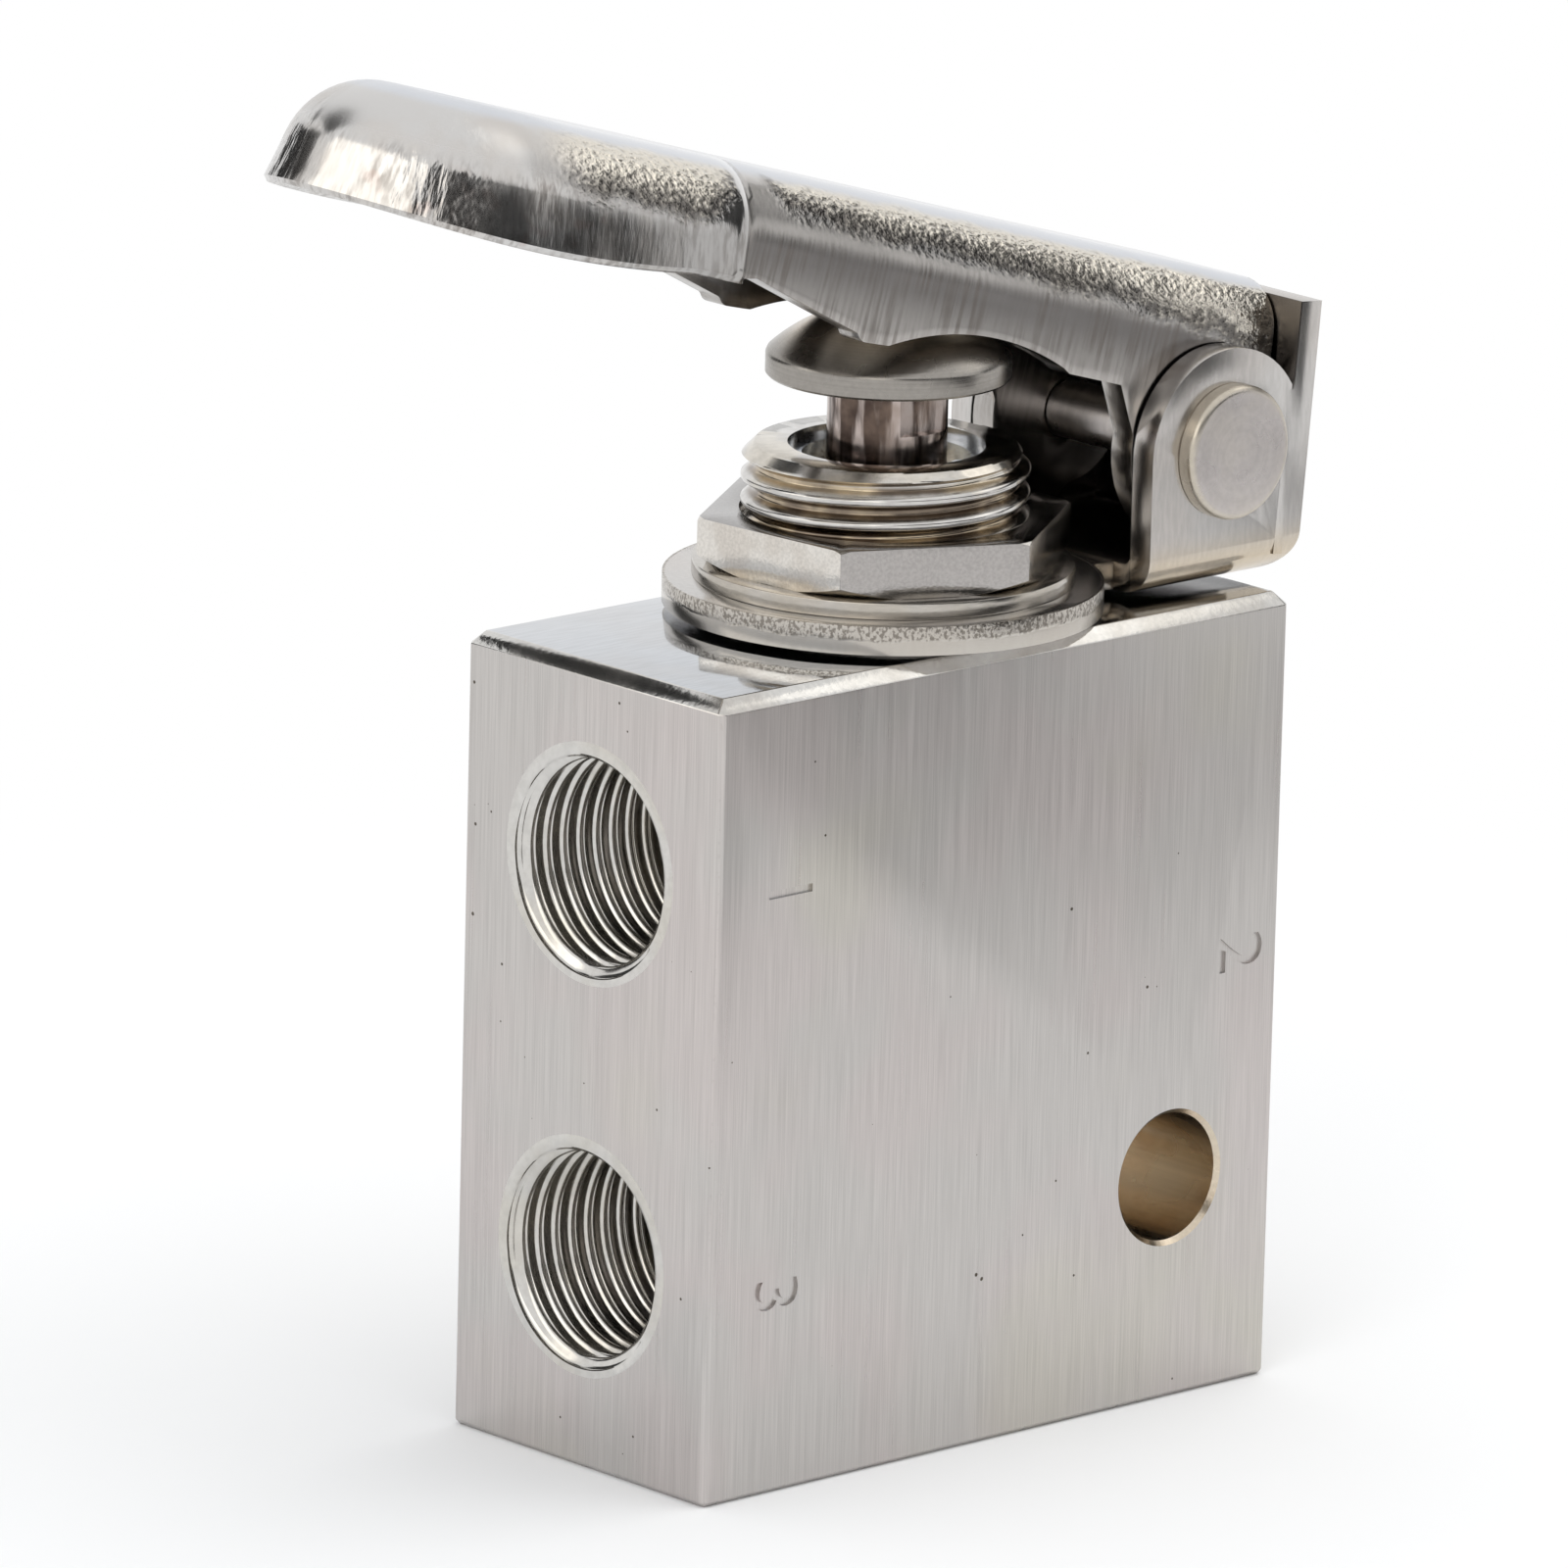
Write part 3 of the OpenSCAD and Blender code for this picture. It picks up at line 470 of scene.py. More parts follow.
tools.append(stamp("1", -12.1 * mm, 25.5 * mm))
tools.append(stamp("3", -12.4 * mm, 8.5 * mm))
tools.append(stamp("2", 13.6 * mm, 18.8 * mm))
block = mesh_object("block", chamfered_block(), satin_nickel)
rounding = block.modifiers.new("edges", "BEVEL")
rounding.width = 0.05 * mm
rounding.segments = 2
bench_cut(block, tools)
smooth_by_angle(block.data)
top_finish, chamfer_finish, hole_finish = 1, 2, 3
for finish in (polished_nickel_painted_reflection, milled_edge, reamed_brass):
    block.data.materials.append(finish)
for face in block.data.polygons:
    middle = face.center
    from_hole = math.hypot(middle.x - side_hole_x, middle.z - side_hole_z)
    if face.normal.z > 0.99:
        face.material_index = top_finish
    elif middle.z > block_h - top_chamfer and face.normal.z > 0.3:
        face.material_index = chamfer_finish
    elif from_hole < side_hole_r + side_hole_lead and abs(face.normal.y) < 0.9:
        face.material_index = hole_finish


# The screw threads: one rule draws them all, a ridge that climbs by its pitch in each turn
# between a root and a crest radius. The neck has a 1 mm pitch thread cut on its outside,
# and the ports a 0.907 mm pipe thread on their walls.
def thread_tree():
    """A threaded tube: a grid is rolled round Z, and its rows climb with the turn.

    The first row and the last two close the tube along its plain side."""
    tree = bpy.data.node_groups.new("screw_thread", "GeometryNodeTree")
    for name in ("Root Radius", "Crest Radius", "Plain Radius", "Pitch", "Start", "End", "Lead"):
        tree.interface.new_socket(name, in_out="INPUT", socket_type="NodeSocketFloat")
    tree.interface.new_socket("Rows", in_out="INPUT", socket_type="NodeSocketInt")
    tree.interface.new_socket("Metal", in_out="INPUT", socket_type="NodeSocketMaterial")
    tree.interface.new_socket("Geometry", in_out="OUTPUT", socket_type="NodeSocketGeometry")
    given = node(tree, "NodeGroupInput").outputs

    def sums(operation, *values):
        return maths(tree, operation, *values)

    def chosen(share, usual, other):
        """The usual value, or the other one where the share is 1."""
        return node(tree, "ShaderNodeMix", {0: share, 2: usual, 3: other}, data_type="FLOAT").outputs[0]

    columns = 128
    rows = sums("ADD", given["Rows"], 3)
    sheet = node(tree, "GeometryNodeMeshGrid", {"Size X": 1, "Size Y": 1, "Vertices X": columns + 1,
                                                "Vertices Y": rows})
    spot = axes_of(tree, node(tree, "GeometryNodeInputPosition").outputs[0])
    turn = sums("ADD", spot[0], 0.5)
    row = sums("ROUND", sums("MULTIPLY", sums("ADD", spot[1], 0.5), sums("SUBTRACT", rows, 1)))
    length = sums("SUBTRACT", given["End"], given["Start"])
    climb = sums("MULTIPLY", given["Pitch"], turn)
    share = sums("DIVIDE", sums("SUBTRACT", row, 1), sums("SUBTRACT", rows, 3))
    along = sums("ADD", sums("MULTIPLY", share, sums("ADD", length, given["Pitch"])), climb)
    held = sums("MINIMUM", sums("MAXIMUM", sums("SUBTRACT", along, given["Pitch"]), 0), length)
    phase = sums("FRACT", sums("DIVIDE", sums("SUBTRACT", held, climb), given["Pitch"]))
    slope = sums("ABSOLUTE", sums("SUBTRACT", sums("MULTIPLY", phase, 2), 1))
    depth = sums("SUBTRACT", given["Crest Radius"], given["Root Radius"])
    cut = sums("MULTIPLY_ADD", span(tree, slope, 0.16, 0.86), depth, given["Root Radius"])
    start_lead = sums("MAXIMUM", sums("SUBTRACT", given["Lead"], held), 0)
    end_lead = sums("MAXIMUM", sums("SUBTRACT", given["Lead"], sums("SUBTRACT", length, held)), 0)
    external = sums("MINIMUM", cut, sums("SUBTRACT", given["Crest Radius"], end_lead))
    internal = sums("MAXIMUM", cut, sums("ADD", given["Root Radius"], start_lead))
    is_outside = sums("GREATER_THAN", given["Crest Radius"], given["Plain Radius"])
    threaded = chosen(is_outside, internal, external)
    last = sums("SUBTRACT", rows, 1)
    at_start = sums("LESS_THAN", row, 0.5)
    at_end = sums("GREATER_THAN", row, sums("SUBTRACT", last, 1.5))
    at_close = sums("GREATER_THAN", row, sums("SUBTRACT", last, 0.5))
    plain = sums("MAXIMUM", at_start, at_end)
    radius = chosen(plain, threaded, given["Plain Radius"])
    plain_z = sums("MULTIPLY", sums("MULTIPLY", at_end, length), sums("SUBTRACT", 1, at_close))
    height = chosen(plain, held, plain_z)
    angle = sums("MULTIPLY", turn, 2 * math.pi)
    rolled = node(tree, "ShaderNodeCombineXYZ", {0: sums("MULTIPLY", radius, sums("COSINE", angle)),
                                                 1: sums("MULTIPLY", radius, sums("SINE", angle)),
                                                 2: sums("ADD", height, given["Start"])})
    moved = node(tree, "GeometryNodeSetPosition", {"Geometry": sheet.outputs["Mesh"],
                                                   "Position": rolled.outputs[0]})
    joined = node(tree, "GeometryNodeMergeByDistance", {"Geometry": moved.outputs[0], "Distance": 1e-6})
    real = node(tree, "GeometryNodeRealizeInstances", {"Geometry": joined.outputs[0]})
    coated = node(tree, "GeometryNodeSetMaterial", {"Geometry": real.outputs[0], "Material": given["Metal"]})
    node(tree, "NodeGroupOutput", {"Geometry": coated.outputs[0]})
    return tree


def built_by_nodes(name, tree, values, placed=Matrix.Identity(4)):
    """Runs a Geometry Nodes tree once and keeps its result as a plain mesh in place."""
    carrier = mesh_object(name, bpy.data.meshes.new(name))
    modifier = carrier.modifiers.new(name, "NODES")
    modifier.node_group = tree
    for item in tree.interface.items_tree:
        if item.in_out == "INPUT" and item.name in values:
            modifier[item.identifier] = values[item.name]
    set_plain(carrier)
    close_up(carrier.data)
    carrier.data.transform(placed)
    return carrier


def thread_with_painted_valley_shade(name, crest_r):
    """Bright plate on the ridges and the neck's mouth, over valleys painted dark brown as shade."""
    material, tree = new_material(name)
    place = object_place(tree)
    radius = length_of(tree, stretched(tree, place, (1, 1, 0)))
    cloud = noise(tree, place, 700, 3)
    ridge = span(tree, maths(tree, "MULTIPLY_ADD", cloud, 0.25 * mm, radius), crest_r - 0.3 * mm, crest_r)
    mouth = span(tree, axes_of(tree, place)[2], neck_top - 0.75 * mm, neck_top - 0.5 * mm)
    ridge = maths(tree, "MAXIMUM", ridge, mouth)
    thread_mottle = noise(tree, place, 330, 3, stretch=(1, 1, 1.6))
    # Painted shade: the valleys between the crests are dark brown.
    painted_valley_shade = tinted(tree, span(tree, thread_mottle, 0.42, 0.6), (0.2, 0.16, 0.125), (0.52, 0.43, 0.31))
    crest = tinted(tree, span(tree, thread_mottle, 0.5, 0.66), (0.62, 0.605, 0.585), (0.64, 0.6, 0.535))
    shade = tinted(tree, ridge, painted_valley_shade, crest)
    grained = noise(tree, place, 3200, 3, stretch=(0.4, 0.4, 1))
    shade = shaded(tree, shade, grained, 0.3, 0.7, 0.85, 1.05)
    surface(tree, shade, span(tree, cloud, 0.3, 0.7, 0.1, 0.2), grained, 0.004)
    return material


threads = thread_tree()
neck = built_by_nodes("neck_thread", threads, {
    "Root Radius": neck_r - 0.52 * mm, "Crest Radius": neck_r, "Plain Radius": neck_bore_r, "Pitch": 1 * mm,
    "Start": boss_top, "End": neck_top, "Lead": 0.55 * mm, "Rows": 120,
    "Metal": thread_with_painted_valley_shade("neck_plate", neck_r)})
smooth_by_angle(neck.data, 50)
port_threads = []
for port, (side, height) in ports.items():
    wall = built_by_nodes(f"port_thread_{port}", threads, {
        "Root Radius": port_wall_r, "Crest Radius": port_wall_r + 0.5 * mm, "Plain Radius": port_outer_r,
        "Pitch": 0.907 * mm, "Start": 0.0, "End": port_depth, "Lead": 0.3 * mm, "Rows": 130,
        "Metal": bright_nickel}, placed=port_place(side, height))
    smooth_by_angle(wall.data, 50)
    port_threads.append(wall)
seat = mesh_object("neck_seat", lathe("neck_seat", [
    (neck_bore_r, block_h), (boss_r, block_h), (boss_r, boss_top), (neck_bore_r, boss_top)]), bright_nickel)
smooth_by_angle(seat.data)
for piece in (block, neck, seat, *port_threads):
    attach(piece, "valve_body")
    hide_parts("body_block")


# Inside the neck: a turned brass bush guides the stem and carries two O-rings, and an open
# steel ring with two eyes snaps into the neck's groove above it.
def dress(name, material):
    """Gives a carried-over solid its own finish."""
    cad = frame["nodes"][name]
    cad.data.materials.clear()
    cad.data.materials.append(material)


turned_brass = bright_metal("turned_brass", (0.5, 0.37, 0.19), (0.58, 0.44, 0.25), 0.22, streak=(0.4, 0.4, 1),
                            grain=9000, depth=0.003)
zinc_ring = bright_metal("zinc_ring", (0.78, 0.83, 0.9), (0.6, 0.65, 0.74), 0.2, grain=5000, depth=0.006)
dress("guide_bush", turned_brass)
dress("neck_circlip", zinc_ring)


def moulded_rubber(name):
    material, tree = new_material(name)
    place = object_place(tree)
    bloom = noise(tree, place, 900, 3)
    shade = tinted(tree, span(tree, bloom, 0.35, 0.7), (0.018, 0.018, 0.019), (0.04, 0.039, 0.038))
    dull = span(tree, bloom, 0.3, 0.7, 0.42, 0.6)
    surface(tree, shade, dull, noise(tree, place, 14000), 0.004, metallic=0.0)
    return material


nitrile = moulded_rubber("nitrile")
for ring in ("guide_o_ring", "stem_o_ring"):
    dress(ring, nitrile)


# The spool stack in the bore: seals of nitrile held apart by moulded cages, the ground steel
# spool that slides through them, and the turned plug that closes the bore from below.
def moulded_plastic(name, colour, tint):
    material, tree = new_material(name)
    place = object_place(tree)
    cloud = noise(tree, place, 300, 3)
    shade = tinted(tree, span(tree, cloud, 0.35, 0.65), colour, tint)
    dull = span(tree, cloud, 0.3, 0.7, 0.32, 0.45)
    surface(tree, shade, dull, noise(tree, place, 9000), 0.003, metallic=0.0)
    return material


acetal = moulded_plastic("acetal", (0.78, 0.74, 0.62), (0.72, 0.67, 0.54))
ground_steel = bright_metal("ground_steel", (0.6, 0.6, 0.6), (0.56, 0.555, 0.55), 0.1, streak=(0.2, 0.2, 1),
                            grain=12000, depth=0.0015)
turned_nickel = bright_metal("turned_nickel", (0.52, 0.495, 0.46), (0.5, 0.465, 0.41), 0.18,
                             streak=(0.25, 0.25, 1), grain=8000, depth=0.003)
for ring in ("seal_top", "seal_supply", "seal_exhaust", "plug_o_ring"):
    dress(ring, nitrile)
for cage in ("supply_cage", "outlet_cage", "exhaust_cage"):
    dress(cage, acetal)
dress("valve_spool", ground_steel)
dress("bottom_plug", turned_nickel)


# The return spring: drawn steel wire wound into a coil. It stands on the plug and lifts the spool.
def merge_corners(mesh, flats=False):
    """Joins the loose triangles of a solid's copy, and those of one flat face where asked."""
    work = bmesh.new()
    work.from_mesh(mesh)
    bmesh.ops.remove_doubles(work, verts=work.verts, dist=2e-6)
    if flats:
        bmesh.ops.dissolve_limit(work, angle_limit=math.radians(0.4), verts=work.verts, edges=work.edges)
    work.to_mesh(mesh)
    work.free()


def solid_copy(name):
    mesh = frame["nodes"][name].data.copy()
    mesh.materials.clear()
    return mesh


drawn_wire = bright_metal("drawn_wire", (0.36, 0.36, 0.37), (0.42, 0.41, 0.4), 0.28, grain=8000, depth=0.004)
spring = mesh_object("return_spring_wound", solid_copy("return_spring"), drawn_wire)
merge_corners(spring.data)
smooth_by_angle(spring.data, 40)
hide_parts("return_spring")
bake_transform(spring)


# The bracket: one piece of sheet steel, blanked round under the nut and folded up into two
# ears and a leaning back plate, then nickel plated. Its blanked rim stays rough.
def round_edges(piece, width, angle, smooth):
    """Rounds the edges that are sharper than the angle, in two small steps."""
    rounding = piece.modifiers.new("edges", "BEVEL")
    rounding.width = width
    rounding.segments = 2
    rounding.limit_method = "ANGLE"
    rounding.angle_limit = math.radians(angle)
    set_plain(piece)
    smooth_by_angle(piece.data, smooth)


def softened(name, width, material, welds=()):
    """A copy of a solid whose edges are slightly rounded, which stands for it."""
    piece = mesh_object(f"{name}_finished", solid_copy(name), material)
    merge_corners(piece.data, flats=True)
    if welds:
        bench_cut(piece, welds, "UNION")
        merge_corners(piece.data, flats=True)
    round_edges(piece, width, 32, 40)
    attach(piece, "valve_body")
    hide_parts(name)


hinge = next(joint for joint in frame["record"]["behaviour"]["joints"] if joint["name"] == "lever_hinge")
pivot = Vector(hinge["pos_m"])
back_lean = math.radians(5)
back_face = 3.5 * mm
ear_face = 6.12 * mm
sheet_depth = 1.2 * mm
ear_inside = ear_face - sheet_depth


def sheet_plate(name):
    """Smooth plated sheet with a roll grain and a rough rim, a painted warm reflection in the folds and
    painted shade inside.
    """
    material, tree = new_material(name)
    place = object_place(tree)
    x, y, z = axes_of(tree, place)
    cloud = noise(tree, place, 150)
    roll = noise(tree, place, 6000, 3, stretch=(1, 1, 0.2))
    shade = tinted(tree, span(tree, cloud, 0.4, 0.64), (0.56, 0.545, 0.53), (0.56, 0.53, 0.505))
    # Painted reflection: a warm band along the folds at the foot of the ears.
    painted_fold_reflection = product(tree, span(tree, z, 35 * mm, 36.9 * mm, 1.0, 0.0), span(tree, x, 8 * mm, 10 * mm), 0.7)
    shade = tinted(tree, painted_fold_reflection, shade, (0.6, 0.49, 0.34))
    shade = shaded(tree, shade, roll, 0.3, 0.7, 0.95, 1.03)
    reach = length_of(tree, stretched(tree, place, (1, 1, 0)))
    rim = product(tree, span(tree, reach, 9.0 * mm, 9.1 * mm), span(tree, x, 9 * mm, 8.6 * mm))
    torn = noise(tree, place, 7500, 4, stretch=(1, 1, 0.7))
    torn_from = maths(tree, "MULTIPLY_ADD", noise(tree, place, 900), 0.3 * mm, z)
    rough = product(tree, rim, span(tree, torn_from, 35 * mm, 35.12 * mm))
    flecks = product(tree, rough, span(tree, torn, 0.42, 0.55, 0.7, 0.0))
    shade = tinted(tree, product(tree, rim, 0.6), shade, (0.5, 0.46, 0.4))
    shade = tinted(tree, flecks, shade, (0.13, 0.11, 0.09))
    # Painted shade: the back plate's inner face and the inside between the ears are darkened.
    behind = maths(tree, "SUBTRACT", product(tree, x, math.cos(back_lean)),
                   product(tree, z, math.sin(back_lean)))
    plane = pivot.x * math.cos(back_lean) - pivot.z * math.sin(back_lean) + back_face
    off_plane = maths(tree, "ABSOLUTE", maths(tree, "SUBTRACT", behind, plane))
    painted_back_shade = product(tree, span(tree, off_plane, 0.03 * mm, 0.1 * mm, 1.0, 0.0),
                    span(tree, z, 42 * mm, 42.6 * mm, 0.0, 0.9))
    shade = tinted(tree, painted_back_shade, shade, (0.06, 0.05, 0.042))
    between = product(tree, maths(tree, "LESS_THAN", maths(tree, "ABSOLUTE", y), ear_inside + 0.04 * mm),
                      span(tree, x, 9.2 * mm, 9.6 * mm), maths(tree, "LESS_THAN", behind, plane + 0.4 * mm),
                      span(tree, z, 45.3 * mm, 44.6 * mm, 0.0, 0.85))
    shade = tinted(tree, between, shade, (0.06, 0.057, 0.058))
    height = node(tree, "ShaderNodeMix", {0: rough, 2: product(tree, roll, 0.06), 3: torn},
                  data_type="FLOAT").outputs[0]
    surface(tree, shade, span(tree, cloud, 0.3, 0.7, 0.17, 0.26), height, 0.03)
    return material


def corner_weld(side):
    """The short stretch where an ear's rear edge meets the back plate, up to its round top."""
    weld = bmesh.new()
    bmesh.ops.create_cube(weld, size=1)
    width = 0.5 * mm
    low, high = -4.6 * mm, 2.4 * mm
    bmesh.ops.transform(weld, verts=weld.verts, matrix=(
        Matrix.Translation((pivot.x, 0, pivot.z)) @ Matrix.Rotation(back_lean, 4, "Y")
        @ Matrix.Translation((back_face, side * (ear_face - sheet_depth / 2), (low + high) / 2))
        @ Matrix.Diagonal((width, sheet_depth, high - low, 1))))
    mesh = bpy.data.meshes.new("corner_weld")
    weld.to_mesh(mesh)
    weld.free()
    return mesh_object("corner_weld", mesh)


softened("lever_bracket", 0.1 * mm, sheet_plate("plated_sheet"),
         welds=[corner_weld(-1), corner_weld(1)])


# The lock washer and the thin panel nut: turned and milled steel, nickel plated. The nut's
# corners are chamfered, and it clamps the bracket on the threaded neck.
softened("lock_washer", 0.06 * mm, turned_nickel)
nut_low, nut_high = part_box("panel_nut")
nut_flat = 7 * mm
nut_corner_r = nut_flat / math.cos(math.radians(30))
nut_turn = math.radians(34.5)
nut_bore_r = 6.04 * mm
top_cut = 0.2 * mm
bottom_cut = 0.9 * mm
cut_rise = math.tan(math.radians(30))


def milled_plate(name):
    """Satin plate, with painted shade on its top face and, darker, on one flat."""
    material, tree = new_material(name)
    place = object_place(tree)
    cloud = noise(tree, place, 520, 3)
    mottle = noise(tree, place, 7000)
    shade = tinted(tree, span(tree, cloud, 0.38, 0.64), (0.72, 0.69, 0.645), (0.64, 0.6, 0.55))
    # Painted shade on the one flat that faces this way.
    facing = nut_turn - 5 * math.pi / 6
    apart = node(tree, "ShaderNodeVectorMath", {0: place, 1: (math.cos(facing), math.sin(facing), 0)},
                 operation="DOT_PRODUCT").outputs["Value"]
    rubbing_and_painted_shade = span(tree, apart, nut_flat - 0.04 * mm, nut_flat - 0.01 * mm)
    shade = tinted(tree, rubbing_and_painted_shade, shade, (0.43, 0.41, 0.395))
    # Painted shade on the nut's top face.
    painted_top_shade = span(tree, axes_of(tree, place)[2], nut_high.z - 0.008 * mm, nut_high.z - 0.002 * mm)
    shade = tinted(tree, painted_top_shade, shade, (0.36, 0.35, 0.345))
    shade = shaded(tree, shade, mottle, 0.25, 0.75, 0.88, 1.04)
    surface(tree, shade, span(tree, cloud, 0.3, 0.7, 0.13, 0.2), mottle, 0.005)
    return material


nut = mesh_object("panel_nut_milled", lathe("panel_nut_milled", [
    (nut_bore_r, nut_low.z), (nut_corner_r - bottom_cut, nut_low.z),
    (nut_corner_r, nut_low.z + bottom_cut * cut_rise), (nut_corner_r, nut_high.z - top_cut * cut_rise),
    (nut_corner_r - top_cut, nut_high.z), (nut_bore_r, nut_high.z)]), milled_plate("milled_nickel"))
hexagon = bpy.data.meshes.new("hexagon")
corners = [(nut_corner_r * math.cos(turn), nut_corner_r * math.sin(turn))
           for turn in (nut_turn + k * math.pi / 3 for k in range(6))]
sides = [(k, (k + 1) % 6, (k + 1) % 6 + 6, k + 6) for k in range(6)]
hexagon.from_pydata([(x, y, z) for z in (nut_low.z - 1 * mm, nut_high.z + 1 * mm) for x, y in corners], [],
                    [(5, 4, 3, 2, 1, 0), (6, 7, 8, 9, 10, 11), *sides])
bench_cut(nut, [mesh_object("hexagon", hexagon)], "INTERSECT")
round_edges(nut, 0.09 * mm, 20, 40)
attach(nut, "valve_body")
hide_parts("panel_nut")


# The pivot pin: a turned rivet with a flat satin head, through both ears and the lever. An
# E-ring in its groove holds it at the back.
pin_r = 1.25 * mm
pin_head_r = 2.85 * mm
pin_low, pin_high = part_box("pivot_pin")
groove_r = pin_r - 0.3 * mm
groove_w = 0.5 * mm
head_corner = 0.28 * mm
head_break = 0.06 * mm
head_top = -pin_low.y
tail_end = -pin_high.y
tail_bevel = 0.25 * mm


def rounded(centre_r, centre_z, radius, start=0, stop=90, steps=5):
    """Points of a round stretch in a turned profile, about its centre."""
    angles = (math.radians(start + (stop - start) * i / steps) for i in range(steps + 1))
    return [(centre_r + radius * math.cos(a), centre_z + radius * math.sin(a)) for a in angles]


def satin_disc(name, colours, centre, axis, rim, roughness, ring_grain=9000):
    """A turned face: rings about its axis and clouds, with the third colour out at its rim."""
    material, tree = new_material(name)
    place = object_place(tree)
    local = node(tree, "ShaderNodeVectorMath", {0: place, 1: tuple(centre)}, operation="SUBTRACT").outputs[0]
    flat = [0 if i == axis else 1 for i in range(3)]
    radius = length_of(tree, node(tree, "ShaderNodeVectorMath", {0: local, 1: flat},
                                  operation="MULTIPLY").outputs[0])
    ringed = node(tree, "ShaderNodeCombineXYZ", {0: radius, 1: axes_of(tree, local)[axis]}).outputs[0]
    rings = noise(tree, ringed, ring_grain, 3)
    cloud = noise(tree, place, 420, 3)
    colour, tint, rim_colour = colours
    shade = tinted(tree, span(tree, cloud, 0.38, 0.66), colour, tint)
    shade = tinted(tree, span(tree, radius, *rim), shade, rim_colour)
    shade = shaded(tree, shade, noise(tree, place, 3800), 0.25, 0.75, 0.94, 1.03)
    shade = shaded(tree, shade, rings, 0.3, 0.7, 0.93, 1.03)
    surface(tree, shade, span(tree, cloud, 0.3, 0.7, roughness - 0.04, roughness + 0.05), rings, 0.003)
    return material


pin_place = Matrix.Translation((pivot.x, 0, pivot.z)) @ Matrix.Rotation(math.pi / 2, 4, "X")
# The warm third colour at the head's rim is a painted reflection.
satin_pin = satin_disc("satin_pin", ((0.55, 0.515, 0.5), (0.58, 0.54, 0.51), (0.56, 0.51, 0.43)), pivot,
                       axis=1, rim=(2.45 * mm, 2.8 * mm), roughness=0.3, ring_grain=2500)
pin = mesh_object("pivot_pin_turned", lathe("pivot_pin_turned", [
    (0, tail_end), (pin_r - tail_bevel, tail_end), (pin_r, tail_end + tail_bevel),
    (pin_r, -ear_face - groove_w), (groove_r, -ear_face - groove_w), (groove_r, -ear_face),
    (pin_r, -ear_face), (pin_r, ear_face), (pin_head_r - head_break, ear_face),
    (pin_head_r, ear_face + head_break),
    *rounded(pin_head_r - head_corner, head_top - head_corner, head_corner), (0, head_top)],
    steps=128, placed=pin_place), satin_pin)
smooth_by_angle(pin.data, 30)
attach(pin, "valve_body")
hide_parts("pivot_pin")
dress("pin_e_ring", zinc_ring)


# The hand lever: pressed from one sheet of steel into a channel, widened at its end into a
# hollow finger pad. Its walls arch over the button and end in lobes on the pivot pin, and
# the plating shows the pebbled skin where the sheet was stretched over the bends. Its sizes
# are millimetres in the lever's own frame, whose origin is the pivot.
lever_tilt = math.radians(16.4)
lever_place = Matrix.Translation(pivot) @ Matrix.Rotation(lever_tilt, 4, "Y")
sheet_t = 1.2
lever_top = 7.13
narrow_half = 4.8
narrow_bend = 3.0
tighter_from, tighter_run = -8, 10
pad_half = 6.5
pad_bend = 3.6
pad_lean = math.tan(math.radians(12))
pad_tuck = math.tan(math.radians(32))
pad_end = -41.8
pad_rim_x, pad_rim_low, pad_rim_r = -41, 1.95, 71
swell, swell_x, swell_half = 0.022, -35.5, 8.5
pad_widest = 0.25
pad_sag_top, pad_sag_run = 1.9, 1.6
wall_low = 2.45
wall_low_end = -29.5
shoulder_x = -28.5
shoulder_run = 1.7
root_x, root_low = -27.5, 2.75
root_fall = 0.2056
nose_start = -21.3
nose_x, nose_low, nose_r = -20.707, 1.157, 0.6
arch_x, arch_top, arch_r = -13.407, 2.447, 15
arch_end_x, arch_end_low = -8.807, 1.657
lobe_start = -5.7
lobe_r = 4.3
rear_r = 3.25
rear_turn = 11.4
rear_flare, rear_flare_top = 0.02, 6
pin_hole_r = 1.31


def pad_share(x):
    """How far the section has grown from the narrow part to the pad: a quick round shoulder."""
    share = min(max((shoulder_x - x) / shoulder_run, 0), 1)
    return math.sin(share * math.pi / 2)


def wall_foot(x):
    """Height of the walls' lower edge: the pad's sag, the nose, and the arch over the button."""
    if x < wall_low_end:
        return min(wall_low, pad_rim_low + pad_rim_r - math.sqrt(pad_rim_r ** 2 - (x - pad_rim_x) ** 2))
    if x < root_x:
        return wall_low + (root_low - wall_low) * (x - wall_low_end) / (root_x - wall_low_end)
    if x < nose_x:
        line = root_low - root_fall * (x - root_x)
        if x < nose_start:
            return line
        return min(line, nose_low + nose_r - math.sqrt(nose_r ** 2 - (x - nose_x) ** 2))
    if x < arch_end_x:
        chord = nose_low + (x - nose_x) * (arch_end_low - nose_low) / (arch_end_x - nose_x)
        return max(arch_top - arch_r + math.sqrt(arch_r ** 2 - (x - arch_x) ** 2), chord)
    return arch_end_low


def pad_swell(x):
    """The pad's sides bulge a little, so that its plan has no straight stretch."""
    return 1 + swell * math.cos(min(abs(x - swell_x) / swell_half, 1) * math.pi / 2) ** 2


def rear_x(z):
    """Where the back of the lever's top and walls ends, leaning forwards above the pivot."""
    lean = math.radians(rear_turn)
    flare = rear_flare * min(max(z, 0), rear_flare_top)
    return (rear_r + flare - z * math.sin(lean)) / math.cos(lean)


